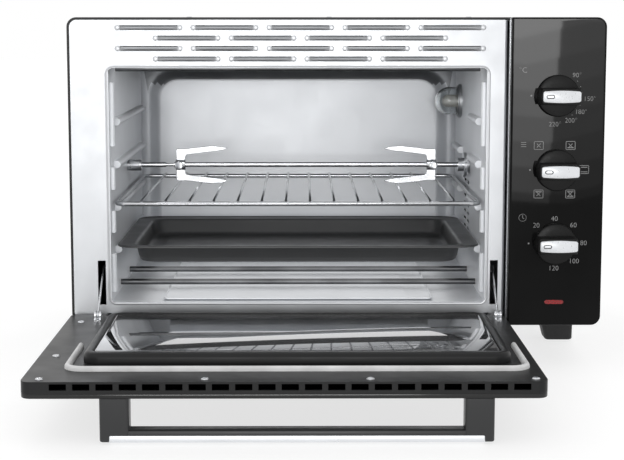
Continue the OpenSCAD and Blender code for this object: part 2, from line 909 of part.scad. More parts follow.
module window_frame() {
    color("#1c1c1f") place() translate([cavity_x, window_y, 0]) difference() {
        translate([0, 0, liner_top]) linear_extrude(window_rise)
            round_rect(window_w, window_l, window_r);
        translate([0, 0, liner_top - 1]) linear_extrude(window_rise + 2)
            round_rect(window_w - 2 * (window_rim + window_ledge),
                       window_l - 2 * (window_rim + window_ledge), 4);
        translate([0, 0, pane_top - pane_t]) linear_extrude(window_rise)
            round_rect(window_w - 2 * window_rim, window_l - 2 * window_rim,
                       window_r - window_rim);
    }
}

module door_inner_glass() {
    side_gap = 0.8;
    color("#3f474a", 0.6) place() translate([cavity_x, window_y, pane_top - pane_t])
        linear_extrude(pane_t)
            round_rect(window_w - 2 * (window_rim + side_gap),
                       window_l - 2 * (window_rim + side_gap), window_r - window_rim - side_gap);
}

module door_gasket() {
    run = gasket_start - gasket_front;
    color("#c4c5c4") place() translate([cavity_x, 0, liner_top]) linear_extrude(gasket_h) {
        intersection() {
            difference() {
                translate([0, gasket_front + run])
                    round_rect(2 * gasket_side + gasket_w, 2 * run + gasket_w,
                               gasket_r + gasket_w / 2);
                translate([0, gasket_front + run])
                    round_rect(2 * gasket_side - gasket_w, 2 * run - gasket_w,
                               gasket_r - gasket_w / 2);
            }
            translate([-gasket_side - gasket_w, gasket_front - gasket_w])
                square([2 * (gasket_side + gasket_w), run + gasket_w]);
        }
        for (s = [-1, 1]) translate([s * gasket_side, gasket_start]) circle(gasket_w / 2);
    }
}

module door_handle() {
    // two arms and the dark inner bar, moulded in one
    color("#3b3d41") place() translate([cavity_x, 0, 0]) {
        difference() {
            for (s = [-1, 1]) translate([s * (handle_w - arm_w) / 2, handle_y, 0])
                translate([0, 0, handle_low]) linear_extrude(handle_reach)
                    round_rect(arm_w, handle_depth, 2);
            box(-handle_w / 2 + facing_inset - 0.1, handle_w / 2 - facing_inset + 0.1,
                door_front - 1, door_front + handle_depth + 1, handle_low - 1,
                handle_low + facing_t + 0.1);
        }
        box(-handle_w / 2 + arm_w / 2, handle_w / 2 - arm_w / 2, door_front + 1,
            door_front + handle_depth - 1, handle_low + facing_t + 0.1,
            handle_low + facing_t + bar_t);
    }
}

module handle_facing() {
    color("#dadbdd") place() translate([cavity_x, handle_y, handle_low])
        linear_extrude(facing_t) round_rect(handle_w - 2 * facing_inset, handle_depth, 2);
}

module door_screws() {
    head_r = 3.2;
    head_h = 1.3;
    color("#9a9ca0") place() door_screw_spots() {
        translate([0, 0, liner_top]) intersection() {
            cylinder(h = head_h, r = head_r);
            translate([0, 0, head_h - 5]) sphere(5);
        }
        translate([0, 0, liner_top - 5]) cylinder(h = 5, r = 1.5);
    }
}

module hinge_pins() {
    stay_pin_l = stay_t + 2 * (ear_play + ear_t) + 0.6;
    color("#a6a8ab") place() {
        both_sides(bracket_off) rod_x(-9, 9, hinge_y, hinge_z, pin_r);
        both_sides(stay_off) rod_x(-stay_pin_l / 2, stay_pin_l / 2, stay_y, stay_z, pin_r);
    }
}

module hinge_brackets() {
    back = 22;
    color("#77797c") place() both_sides(bracket_off) difference() {
        sideways(-bracket_t / 2, bracket_t / 2) {
            translate([hinge_y, hinge_z]) circle(eye_r);
            translate([hinge_y, floor_top]) square([back - hinge_y, hinge_z + eye_r - floor_top]);
        }
        rod_x(-5, 5, hinge_y, hinge_z, pin_r + slip);
    }
}

module stay_brackets() {
    base_t = 1.2;
    ear_l = 2 * ear_r + 6;
    outer = stay_t / 2 + ear_play + ear_t;
    color("#8b8d90") place() both_sides(stay_off) difference() {
        union() {
            box(-outer, outer, stay_y - ear_l / 2, stay_y + ear_l / 2, liner_top, liner_top + base_t);
            for (s = [-1, 1]) sideways(min(s * outer, s * (outer - ear_t)),
                                       max(s * outer, s * (outer - ear_t))) {
                translate([stay_y, stay_z]) circle(ear_r);
                translate([stay_y - ear_r, liner_top]) square([2 * ear_r, stay_z - liner_top]);
            }
        }
        rod_x(-outer - 1, outer + 1, stay_y, stay_z, pin_r + 0.02);
    }
}

module stay() {
    tip_hole_r = 1.6;
    translate([0, stay_y, stay_z]) rotate([stay_angle, 0, 0]) difference() {
        sideways(-stay_t / 2, stay_t / 2) {
            square([stay_l, stay_h * 0.8], center = false);
            circle(stay_h / 2 - 1);
            translate([0, -stay_h / 2 + 1]) square([stay_l - 8, stay_h - 2]);
            translate([stay_l, stay_h * 0.4]) circle(stay_h * 0.4);
        }
        rod_x(-3, 3, 0, 0, pin_r + slip);
        rod_x(-3, 3, stay_l, stay_h * 0.4, tip_hole_r);
    }
}

module left_stay() { color("#8b8d90") place() translate([cavity_x - stay_off, 0, 0]) stay(); }
module right_stay() { color("#8b8d90") place() translate([cavity_x + stay_off, 0, 0]) stay(); }

module stay_springs() {
    // drawn between the stay's tip and its tab on the base plate
    start_y = stay_tip_y + 4;
    dy = anchor_y - 1 - start_y;
    dz = anchor_z - stay_tip_z;
    span = sqrt(dy * dy + dz * dz);
    color("#b9babd") place() both_sides(stay_off)
        translate([0, start_y, stay_tip_z]) rotate([atan2(dz, dy), 0, 0]) difference() {
            rod_y(0, 0, span, 0, spring_r);
            rod_y(0, -1, span + 1, 0, spring_r - 1);
        }
}

// ---- Shelf and trays ----
module wire_rack() {
    left = cavity_x - rack_w / 2 + rack_r;
    right = cavity_x + rack_w / 2 - rack_r;
    bar_span = rack_w - 52;
    bar_z = rack_z + rack_r + bar_r - 0.7;
    color("#cfd1d3") place() {
        for (y = [rack_front, rack_back]) rod_x(left, right, y, rack_z, rack_r);
        for (x = [left, right]) {
            rod_y(x, rack_front, rack_back, rack_z, rack_r);
            for (y = [rack_front, rack_back]) translate([x, y, rack_z]) sphere(rack_r);
        }
        for (i = [0:rack_bars - 1])
            rod_y(cavity_x - bar_span / 2 + i * bar_span / (rack_bars - 1),
                  rack_front - rack_r * 0.6, rack_back + rack_r * 0.6, bar_z, bar_r);
    }
}

module tray_bowl(inset, low) {
    slope = 5;
    bowl_w = tray_w - 2 * tray_rim - 2 * inset;
    bowl_l = tray_l - 2 * tray_rim - 2 * inset;
    hull() {
        translate([0, 0, tray_top]) linear_extrude(0.1) round_rect(bowl_w, bowl_l, 22 - inset);
        translate([0, 0, low + 5])
            linear_extrude(0.1) round_rect(bowl_w - slope, bowl_l - slope, 20 - inset);
        translate([0, 0, low])
            linear_extrude(0.1) round_rect(bowl_w - slope - 8, bowl_l - slope - 8, 16 - inset);
    }
}

module baking_tray() {
    edge_h = 2;
    low = tray_top - tray_depth;
    color("#3e4043") place() translate([cavity_x, tray_front + tray_l / 2, 0]) difference() {
        union() {
            translate([0, 0, tray_top - tray_t]) linear_extrude(tray_t)
                round_rect(tray_w, tray_l, 20);
            // raised outer edge
            translate([0, 0, tray_top - tray_t]) linear_extrude(edge_h) difference() {
                round_rect(tray_w, tray_l, 20);
                round_rect(tray_w - 3, tray_l - 3, 18.5);
            }
            intersection() {
                tray_bowl(0, low);
                translate([0, 0, low - 1]) linear_extrude(tray_depth + 1 - tray_t / 2)
                    square([tray_w, tray_l], center = true);
            }
        }
        tray_bowl(tray_t, low + tray_t);
        translate([0, 0, tray_top]) linear_extrude(5)
            round_rect(tray_w - 3 - eps, tray_l - 3 - eps, 18.5);
    }
}

module crumb_tray() {
    left = cavity_x - crumb_w / 2;
    right = cavity_x + crumb_w / 2;
    color("#a5a7aa") place() difference() {
        box(left, right, crumb_front, crumb_back, crumb_z, crumb_z + crumb_h);
        box(left + crumb_t, right - crumb_t, crumb_front + crumb_t, crumb_back - crumb_t,
            crumb_z + crumb_t, crumb_z + crumb_h + 1);
    }
}

// ---- Spit ----
module drive_socket() {
    color("#a6a8ab") place() difference() {
        union() {
            rod_x(cavity_right - socket_in, socket_end, spit_y, spit_z, socket_r);
            rod_x(cavity_right - 6, cavity_right - 3, spit_y, spit_z, drive_disc_r);
        }
        rod_x(cavity_right - socket_in - 1, spit_end + 2, spit_y, spit_z, spit_r + slip);
        rod_x(motor_face - 14, socket_end + 1, spit_y, spit_z, motor_shaft_r + slip);
    }
}

module spit_support() {
    // round cup on the left wall, open at the top so that the rod lifts out
    slot = spit_d + 0.8;
    color("#b5b7ba") place() difference() {
        rod_x(cavity_left, cavity_left + support_l, spit_y, spit_z, support_r);
        rod_x(cavity_left + 2, cavity_left + support_l + 1, spit_y, spit_z, slot / 2);
        box(cavity_left + 2, cavity_left + support_l + 1, spit_y - slot / 2, spit_y + slot / 2,
            spit_z, spit_z + support_r + 1);
    }
}

module spit_rod() {
    groove_r = spit_r - 0.8;
    groove_at = cavity_left + 40;
    groove_l = 8;
    color("#b9bbbe") place() {
        rod_x(spit_start, groove_at, spit_y, spit_z, spit_r);
        rod_x(groove_at - eps, groove_at + groove_l + eps, spit_y, spit_z, groove_r);
        rod_x(groove_at + groove_l, spit_end, spit_y, spit_z, spit_r);
    }
}

// One fork, drawn for the left end: a hub, and a flat plate with two splayed, pointed prongs
module fork() {
    splay = 3;
    point_l = 17;
    root = fork_reach - splay;
    tip_x = fork_hub_l + prong_l;
    difference() {
        union() {
            rod_x(0, fork_hub_l, 0, 0, fork_hub_r);
            for (s = [0, 1]) mirror([0, 0, s]) rotate([90, 0, 0])
                linear_extrude(fork_t, center = true)
                    polygon([[0, 0], [fork_hub_l, 0], [fork_hub_l, root - prong_h],
                             [tip_x - point_l, fork_reach - prong_h], [tip_x, fork_reach - splay],
                             [tip_x - point_l, fork_reach], [fork_hub_l, root], [0, root]]);
        }
        rod_x(-1, fork_hub_l + 1, 0, 0, spit_r + slip);
        // threaded hole for the thumbscrew, on the side that faces the door
        translate([fork_screw_x, 0, 0]) rotate([90, 0, 0]) cylinder(h = 10, r = 1.8);
    }
}

module thumbscrew() {
    translate([fork_screw_x, 0, 0]) rotate([90, 0, 0]) {
        translate([0, 0, spit_r + 0.2]) cylinder(h = 7, r = 1.75);
        translate([0, 0, spit_r + 6]) cylinder(h = 5, r = 4.6, $fn = 8);
    }
}

module left_fork() {
    color("#bcbec1") place()
        translate([cavity_left + fork_out, spit_y, spit_z]) fork();
}

module right_fork() {
    color("#bcbec1") place()
        translate([cavity_right - fork_out + 16, spit_y, spit_z]) rotate([0, 0, 180])
            mirror([0, 1, 0]) fork();
}

module left_thumbscrew() {
    color("#a0a2a5") place()
        translate([cavity_left + fork_out, spit_y, spit_z]) thumbscrew();
}

module right_thumbscrew() {
    color("#a0a2a5") place()
        translate([cavity_right - fork_out + 16, spit_y, spit_z]) rotate([0, 0, 180])
            mirror([0, 1, 0]) thumbscrew();
}

outer_shell();
rear_cover();
base_plate();
front_frame();
cavity_left_wall();
cavity_right_wall();
cavity_rear_wall();
cavity_ceiling();
cavity_floor();
upper_heaters();
lower_heaters();
heater_insulators();
lamp_glass();
lamp_bulb();
lamp_holder();
heat_shield();
spit_motor();
fan_motor();
thermostat();
function_switch();
timer();
control_panel();
indicator_lens();
indicator_lamp();
terminal_block();
cord_gland();
feet();
hinge_brackets();
cover_screws();
spit_support();
stay_springs();
temperature_knob();
temperature_insert();
function_knob();
function_insert();
timer_knob();
timer_insert();
door_frame();
door_outer_glass();
door_liner();
window_frame();
door_inner_glass();
door_gasket();
door_handle();
handle_facing();
door_screws();
hinge_pins();
stay_brackets();
left_stay();
right_stay();
wire_rack();
baking_tray();
crumb_tray();
drive_socket();
spit_rod();
left_fork();
right_fork();
left_thumbscrew();
right_thumbscrew();
fan_wheel();
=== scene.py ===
"""Looks of the rotisserie oven: its materials, its finer pieces, the light and the camera.

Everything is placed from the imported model. Shapes are drawn in millimetres and stored in metres.
"""
import json
import math

import bmesh
import bpy
from mathutils import Matrix, Vector


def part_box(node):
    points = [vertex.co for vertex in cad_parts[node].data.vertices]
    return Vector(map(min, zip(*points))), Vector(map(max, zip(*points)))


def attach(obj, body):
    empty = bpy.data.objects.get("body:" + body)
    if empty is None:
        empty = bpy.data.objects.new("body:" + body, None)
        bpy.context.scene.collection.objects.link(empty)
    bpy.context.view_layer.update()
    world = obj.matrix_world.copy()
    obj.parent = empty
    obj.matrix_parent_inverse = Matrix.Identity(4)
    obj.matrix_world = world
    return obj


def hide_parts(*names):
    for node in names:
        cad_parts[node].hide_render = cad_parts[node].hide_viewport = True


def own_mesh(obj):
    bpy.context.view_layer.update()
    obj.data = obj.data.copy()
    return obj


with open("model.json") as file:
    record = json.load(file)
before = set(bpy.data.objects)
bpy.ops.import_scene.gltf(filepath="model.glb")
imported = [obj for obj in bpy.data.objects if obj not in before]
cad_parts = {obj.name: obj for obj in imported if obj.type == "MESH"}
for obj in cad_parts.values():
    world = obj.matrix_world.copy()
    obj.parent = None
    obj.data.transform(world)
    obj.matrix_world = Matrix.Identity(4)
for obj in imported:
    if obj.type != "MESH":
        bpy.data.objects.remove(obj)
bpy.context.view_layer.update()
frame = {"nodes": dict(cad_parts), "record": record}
MM = 0.001
NODES = frame["nodes"]


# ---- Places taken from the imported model, in millimetres ----
def corners(node):
    """Lowest and highest corner of a CAD node."""
    low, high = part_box(node)
    return low / MM, high / MM


def middle(node):
    low, high = corners(node)
    return (low + high) / 2


FRAME_LOW, FRAME_HIGH = corners("front_frame")
FRONT = FRAME_LOW.y  # front plane of the oven's face
MOUTH_LEFT = corners("cavity_left_wall")[0].x
MOUTH_RIGHT = corners("cavity_right_wall")[1].x
MOUTH_X = (MOUTH_LEFT + MOUTH_RIGHT) / 2
MOUTH_LOW = corners("cavity_floor")[0].z + 0.5
CEILING = corners("cavity_ceiling")[0].z
CEILING_RISE = 18
MOUTH_TOP = CEILING - CEILING_RISE
MOUTH_R = 6


# ---- Meshes ----
def arc(cx, cz, radius, start, end, steps):
    """Points on an arc, angles in degrees."""
    turns = [math.radians(start + (end - start) * i / steps) for i in range(steps + 1)]
    return [(cx + radius * math.cos(t), cz + radius * math.sin(t)) for t in turns]


def rounded(half_w, half_h, radius, steps=8, shift=(0, 0)):
    """A rounded rectangle; radius is one number, or four from the lower right corner round."""
    radii = radius if isinstance(radius, (list, tuple)) else [radius] * 4
    signs = [(1, -1), (1, 1), (-1, 1), (-1, -1)]
    points = []
    for k, ((sx, sy), r) in enumerate(zip(signs, radii)):
        start = -90 + 90 * k
        points += arc(sx * (half_w - r), sy * (half_h - r), r, start, start + 90, steps)
    return [(x + shift[0], y + shift[1]) for x, y in points]


def circle(radius, steps=48):
    return arc(0, 0, radius, 0, 360 * (steps - 1) / steps, steps - 1)


PLANES = {
    "flat": lambda u, v, level: (u, v, level),
    "upright": lambda u, v, level: (u, level, v),
    "side": lambda u, v, level: (level, u, v),
}


class Shape:
    """A mesh put together in millimetres, part by part."""

    def __init__(self):
        self.bm = bmesh.new()

    def loft(self, outlines, plane="flat", centre=(0, 0, 0), caps=(True, True), turn=None):
        """Joins outlines of equally many points; each is (points, level)."""
        put = PLANES[plane]
        rings = []
        for points, level in outlines:
            ring = [Vector(put(u, v, level)) for u, v in points]
            if turn:
                ring = [turn @ p for p in ring]
            rings.append([p + Vector(centre) for p in ring])
        return self.rings(rings, caps)

    def rings(self, rings, caps=(True, True), closed=False):
        rows = [[self.bm.verts.new(p) for p in ring] for ring in rings]
        pairs = list(zip(rows, rows[1:])) + ([(rows[-1], rows[0])] if closed else [])
        for a, b in pairs:
            n = len(a)
            for i in range(n):
                self.bm.faces.new((a[i], a[(i + 1) % n], b[(i + 1) % n], b[i]))
        if caps[0] and not closed:
            self.bm.faces.new(rows[0][::-1])
        if caps[1] and not closed:
            self.bm.faces.new(rows[-1])
        return self

    def tube(self, points, radius, sides=12, closed=False):
        """A round rod along points; radius is one number or one for each point."""
        points = [Vector(p) for p in points]
        radii = radius if isinstance(radius, (list, tuple)) else [radius] * len(points)
        count = len(points)
        rings, side = [], None
        for i, (p, r) in enumerate(zip(points, radii)):
            before = points[i - 1] if i or closed else p
            after = points[(i + 1) % count] if i + 1 < count or closed else p
            along = (after - before).normalized()
            if side is None:
                side = along.orthogonal().normalized()
            side = (side - along * side.dot(along)).normalized()
            up = along.cross(side)
            rings.append([p + r * (math.cos(t) * side + math.sin(t) * up)
                          for t in (2 * math.pi * k / sides for k in range(sides))])
        return self.rings(rings, closed=closed)

    def block(self, low, high, bevel=0.4):
        """A box with its upright and upper edges eased."""
        half = [(h - l) / 2 for l, h in zip(low, high)]
        centre = [(h + l) / 2 for l, h in zip(low, high)]
        bevel = min(bevel, *[h * 0.9 for h in half])
        steps = [(bevel, -half[2]), (0, -half[2] + bevel), (0, half[2] - bevel), (bevel, half[2])]
        return self.loft([(rounded(half[0] - cut, half[1] - cut, max(bevel - cut, 0.01), 3), level)
                          for cut, level in steps], centre=centre)

    def add(self, mesh, matrix):
        """Takes in another mesh, placed by matrix."""
        copy = mesh.copy()
        copy.transform(matrix)
        self.bm.from_mesh(copy)
        bpy.data.meshes.remove(copy)
        return self

    def mesh(self, name, sharp=32):
        """The finished mesh in metres, smooth but for edges sharper than an angle."""
        bmesh.ops.remove_doubles(self.bm, verts=self.bm.verts, dist=0.0005)
        bmesh.ops.recalc_face_normals(self.bm, faces=self.bm.faces)
        for face in self.bm.faces:
            face.smooth = True
        for edge in self.bm.edges:
            if len(edge.link_faces) == 2 and edge.calc_face_angle(0) > math.radians(sharp):
                edge.smooth = False
        data = bpy.data.meshes.new(name)
        self.bm.to_mesh(data)
        self.bm.free()
        data.transform(Matrix.Scale(MM, 4))
        return data

    def piece(self, name, body, slot, replaces=(), sharp=32, look=None):
        """Puts the shape in the scene as a piece that rides on a CAD body."""
        piece = bpy.data.objects.new(name, self.mesh(name, sharp))
        bpy.context.collection.objects.link(piece)
        piece.data.materials.append(look or LOOKS[slot])
        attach(piece, body)
        if replaces:
            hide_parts(*replaces)
        return piece


# ---- Materials ----
NOISE_LOW, NOISE_HIGH = 0.3, 0.7  # nearly all of a noise lies between these


class Look:
    """A procedural material: one shader, with its colour, roughness and relief from textures."""

    def __init__(self, name, **uniform):
        self.mat = bpy.data.materials.new(name)
        self.mat.use_nodes = True
        self.tree = self.mat.node_tree
        self.shader = self.tree.nodes["Principled BSDF"]
        self.place = self.node("ShaderNodeTexCoord").outputs["Object"]
        self.relief = None
        for key, value in uniform.items():
            self.shader.inputs[key.replace("_", " ")].default_value = value

    def node(self, kind, inputs=(), **settings):
        made = self.tree.nodes.new(kind)
        for key, value in settings.items():
            setattr(made, key, value)
        for key, value in dict(inputs).items():
            if isinstance(value, bpy.types.NodeSocket):
                self.tree.links.new(value, made.inputs[key])
            else:
                made.inputs[key].default_value = value
        return made

    def noise(self, size, detail=3, stretch=(1, 1, 1), rough=0.5):
        """Noise with features of a size in millimetres, drawn out along axes by stretch."""
        scale = [1 / (size * MM * s) for s in stretch]
        mapped = self.node("ShaderNodeMapping", {"Vector": self.place, "Scale": scale})
        return self.node("ShaderNodeTexNoise", {"Vector": mapped.outputs[0], "Scale": 1.0,
                                                "Detail": detail, "Roughness": rough}).outputs[0]

    def speckle(self, size):
        """Cells of a size in millimetres, as the distance to their middles."""
        return self.node("ShaderNodeTexVoronoi",
                         {"Vector": self.place, "Scale": 1 / (size * MM)}).outputs[0]

    def colour(self, source, dark, light, start=NOISE_LOW, end=NOISE_HIGH):
        """Colours from dark to light, over a texture's values from start to end."""
        ramp = self.node("ShaderNodeValToRGB", {"Fac": source})
        ramp.color_ramp.elements[0].position = start
        ramp.color_ramp.elements[0].color = (*dark, 1)
        ramp.color_ramp.elements[1].position = end
        ramp.color_ramp.elements[1].color = (*light, 1)
        self.tree.links.new(ramp.outputs[0], self.shader.inputs["Base Color"])
        return self

    def roughness(self, source, low, high):
        spread = self.node("ShaderNodeMapRange", {"Value": source, "From Min": NOISE_LOW,
                                                  "From Max": NOISE_HIGH, "To Min": low, "To Max": high})
        self.tree.links.new(spread.outputs[0], self.shader.inputs["Roughness"])
        return self

    def bump(self, source, height, strength=1.0):
        """Relief of a height in millimetres; several are stacked."""
        inputs = {"Height": source, "Distance": height * MM, "Strength": strength}
        if self.relief:
            inputs["Normal"] = self.relief
        self.relief = self.node("ShaderNodeBump", inputs).outputs[0]
        self.tree.links.new(self.relief, self.shader.inputs["Normal"])
        return self


def grey(value, tint=(1, 1, 1)):
    return tuple(value * t for t in tint)


COOL = (0.97, 0.99, 1.02)
WARM = (1.02, 1.0, 0.96)


def sheet_metal(name, light, dark, rough, grain=(12, 1, 1), scratch=0.5):
    """Bare sheet: fine grain drawn along an axis, and cloudy wear."""
    look = Look(name, Metallic=1.0)
    fine = look.noise(0.35, 4, grain, 0.6)
    cloud = look.noise(38, 3)
    look.colour(cloud, grey(dark, COOL), grey(light, COOL))
    look.roughness(look.noise(22, 3), rough - 0.03, rough + 0.04)
    look.bump(fine, 0.002, scratch)
    return look


def painted(name, colour, rough, peel, gloss=0.3):
    """Stoved paint or enamel: orange peel and faint clouding."""
    look = Look(name, Specular_IOR_Level=gloss)
    look.colour(look.noise(90, 2), grey(colour * 0.92, COOL), grey(colour * 1.1, COOL))
    look.roughness(look.noise(25, 3), rough - 0.03, rough + 0.04)
    look.bump(look.noise(1.6, 2), peel)
    return look


def moulded(name, colour, rough, grain, tint=(1, 1, 1), gloss=0.3):
    """Moulded plastic: spark-eroded grain with faint flow clouding."""
    look = Look(name, Specular_IOR_Level=gloss)
    look.colour(look.noise(25, 3), grey(colour * 0.85, tint), grey(colour * 1.15, tint))
    look.roughness(look.noise(3, 4), rough - 0.06, rough + 0.06)
    look.bump(look.speckle(0.55), grain)
    return look


def clear(name, colour, rough, transmission=1.0):
    """Clear glass with a faint film of fingermarks."""
    look = Look(name, Transmission_Weight=transmission, IOR=1.5)
    look.colour(look.noise(45, 3), grey(0.94, colour), grey(1.0, colour))
    look.roughness(look.noise(16, 5), rough, rough + 0.03)
    look.bump(look.noise(70, 2), 0.02)
    return look


def make_looks():
    return {
        "black_shell": painted("black_shell", 0.006, 0.34, peel=0.004),
        "black_cover": painted("black_cover", 0.012, 0.5, peel=0.008),
        "stainless": sheet_metal("stainless", 0.55, 0.52, 0.38, (30, 1, 1), 0.3),
        "cavity_metal": cavity_metal(),
        "zinc_plate": sheet_metal("zinc_plate", 0.6, 0.45, 0.42, (1, 4, 1)),
        "heater_metal": sheet_metal("heater_metal", 0.2, 0.11, 0.4, (6, 1, 1)),
        "motor_metal": sheet_metal("motor_metal", 0.62, 0.5, 0.36, (1, 1, 6)),
        "steel_pin": sheet_metal("steel_pin", 0.74, 0.58, 0.26, (1, 5, 1)),
        "chrome_wire": sheet_metal("chrome_wire", 0.5, 0.42, 0.14, (6, 1, 1), 0.15),
        "spit_steel": sheet_metal("spit_steel", 0.74, 0.66, 0.2, (8, 1, 1), 0.2),
        "handle_silver": sheet_metal("handle_silver", 0.8, 0.76, 0.3, (40, 1, 1), 0.3),
        "ceramic": moulded("ceramic", 0.72, 0.45, 0.03, WARM),
        "control_plastic": moulded("control_plastic", 0.62, 0.42, 0.02, (1.02, 0.98, 0.86)),
        "rubber_black": moulded("rubber_black", 0.016, 0.62, 0.05),
        "plastic_black": moulded("plastic_black", 0.02, 0.45, 0.03),
        "knob_black": moulded("knob_black", 0.009, 0.32, 0.008, gloss=0.16),
        "silicone": moulded("silicone", 0.6, 0.46, 0.012),
        "handle_dark": painted("handle_dark", 0.03, 0.32, peel=0.003),
        "door_enamel": painted("door_enamel", 0.012, 0.34, peel=0.002, gloss=0.2),
        "tray_enamel": painted("tray_enamel", 0.055, 0.34, peel=0.001),
        "clear_glass": clear("clear_glass", (0.98, 1.0, 1.0), 0.03),
        "lamp_warm": clear("lamp_warm", (1.0, 0.97, 0.9), 0.4, 0.7),
        # A darker copy of the cavity sheet: painted shade for the cavity's ceiling and the rear wall's
        # upper band.
        "ceiling_dark": sheet_metal("ceiling_dark", 0.42, 0.36, 0.5),
        "silver_plastic": silver_plastic(),
        "panel_gloss": panel_gloss(),
        "outer_glass": outer_glass(),
        "inner_glass": inner_glass(),
        "red_lens": red_lens(),
        "neon": neon(),
    }


def cavity_metal():
    """Aluminised sheet: a satin face with a very fine, even spangle."""
    look = Look("cavity_metal", Metallic=0.6)
    look.colour(look.noise(60, 3), grey(0.74, COOL), grey(0.8, COOL))
    look.roughness(look.noise(30, 3), 0.46, 0.5)
    return look.bump(look.noise(2.5, 2), 0.002, 0.3)


def silver_plastic():
    """Metallised plastic under a thin clear coat."""
    look = Look("silver_plastic", Metallic=0.35, Coat_Weight=0.4, Coat_Roughness=0.1)
    look.colour(look.noise(14, 3), grey(0.66, COOL), grey(0.72, COOL))
    look.roughness(look.noise(2, 4), 0.26, 0.36)
    return look.bump(look.noise(5, 2), 0.003)


def panel_gloss():
    """Glossy black moulding with hairline wiping marks."""
    look = Look("panel_gloss", Specular_IOR_Level=0.075)
    look.colour(look.noise(80, 3), grey(0.002), grey(0.004))
    look.roughness(look.noise(1.2, 4, (1, 1, 14)), 0.03, 0.05)
    return look.bump(look.noise(120, 1), 0.05)


def outer_glass():
    """Tempered glass, printed black on its inner side."""
    look = Look("outer_glass", Specular_IOR_Level=0.4)
    look.colour(look.noise(50, 3), grey(0.006), grey(0.01))
    look.roughness(look.noise(20, 4), 0.08, 0.13)
    return look.bump(look.noise(90, 2), 0.03)


def inner_glass():
    """Tinted pane over the dark door, mirror-like at a low angle."""
    look = Look("inner_glass", Coat_Weight=1.0, Coat_Roughness=0.01, IOR=1.9)
    look.colour(look.noise(70, 3), grey(0.05, COOL), grey(0.08, COOL))
    look.roughness(look.noise(30, 4), 0.03, 0.07)
    return look.bump(look.noise(160, 1), 0.04)


def red_lens():
    """Red lens with a pattern of small prisms."""
    look = Look("red_lens", Emission_Color=(0.6, 0.01, 0.01, 1), Emission_Strength=0.05)
    look.colour(look.speckle(1.3), (0.32, 0.004, 0.004), (0.12, 0.0, 0.002), 0.1, 0.6)
    look.roughness(look.noise(2, 3), 0.12, 0.2)
    return look.bump(look.speckle(1.3), 0.12)


def neon():
    """The glowing tube behind the red lens."""
    look = Look("neon", Emission_Color=(1.0, 0.35, 0.1, 1), Emission_Strength=1.0)
    look.colour(look.noise(4, 3), (0.8, 0.3, 0.12), (0.95, 0.5, 0.2))
    return look.roughness(look.noise(3, 3), 0.2, 0.3)


LOOKS = {name: look.mat for name, look in make_looks().items()}


def dress_nodes():
    """Gives every CAD node the material of its slot."""
    for part in frame["record"]["subparts"]:
        data = NODES[part["node"]].data
        data.materials.clear()
        data.materials.append(LOOKS[part["material_slot"]])


# ---- Casing ----
LANCE_L, LANCE_H = 56.4, 4.7
LANCE_PITCH, LANCE_ROW = 70.2, 9.6
LANCE_LOW = MOUTH_TOP + 8.2
LANCE_X = MOUTH_X + 2.5  # middle of the rows of vents


def lance_places():
    """Middles of the vents: rows of five and of four, staggered, from the top row down."""
    rows, most = 4, 5
    for row in range(rows):
        short = row % 2
        for i in range(most - short):
            x = LANCE_X + (i - (most - 1) / 2 + short / 2) * LANCE_PITCH
            yield x, LANCE_LOW + (rows - 1 - row) * LANCE_ROW


def vent_lances():
    """Scoops pressed inward from the vents' lower edges; a dark gap is left above each."""
    shape = Shape()
    half_l, half_h = LANCE_L / 2, LANCE_H / 2
    depth, sheet, steps, sweep, facets = 2.6, 0.5, 16, 150, 8
    rise = [-90 + sweep * i / facets for i in range(facets + 1)]
    for x, z in lance_places():
        rings = []
        for i in range(steps + 1):
            u = -1 + 2 * i / steps
            reach = depth * (1 - abs(u) ** 8) + 0.2
            inner = [Vector((x + u * half_l, FRONT + 0.9 + reach * math.cos(math.radians(t)),
                             z + (half_h + 0.1) * math.sin(math.radians(t)))) for t in rise]
            outer = [p + Vector((0, sheet, 0)) for p in reversed(inner)]
            rings.append(inner + outer)
        shape.rings(rings)
    # The scoops take a darker copy of the zinc plate: painted shade inside the vents.
    painted_shade = sheet_metal("zinc_painted_shade", 0.45, 0.4, 0.55)
    shape.piece("vent_lances", "oven", "zinc_plate", look=painted_shade.mat)


def lance_ends():
    """Bright dimples where the sheet was drawn at both ends of each vent."""
    shape = Shape()
    for x, z in lance_places():
        for s in (-1, 1):
            centre = (x + s * (LANCE_L / 2 + 0.7), 0, z)
            rows = [(2.6, FRONT + 0.05), (2.3, FRONT - 0.2), (1.5, FRONT - 0.42), (0.6, FRONT - 0.5)]
            shape.loft([(circle(r, 20), y) for r, y in rows], "upright", centre)
    shape.piece("vent_ends", "oven", "stainless")


def lance_rims():
    """Raised edges round the vents."""
    shape = Shape()
    for x, z in lance_places():
        path = [(x + u, FRONT - 0.05, z + v)
                for u, v in rounded(LANCE_L / 2, LANCE_H / 2, LANCE_H / 2 - 0.01, 6)]
        shape.tube(path, 0.2, 6, closed=True)
    shape.piece("vent_rims", "oven", "stainless")


def mouth_bead():
    """The rolled edge of the mouth."""
    half_w = (MOUTH_RIGHT - MOUTH_LEFT) / 2
    half_h = (MOUTH_TOP - MOUTH_LOW) / 2
    radius, out, sunk = 1.3, 1.2, 0.95
    path = [(MOUTH_X + u, FRONT + sunk, (MOUTH_LOW + MOUTH_TOP) / 2 + v)
            for u, v in rounded(half_w + out, half_h + out, MOUTH_R + out, 8)]
    Shape().tube(path, radius, 10, closed=True).piece("mouth_bead", "oven", "stainless")


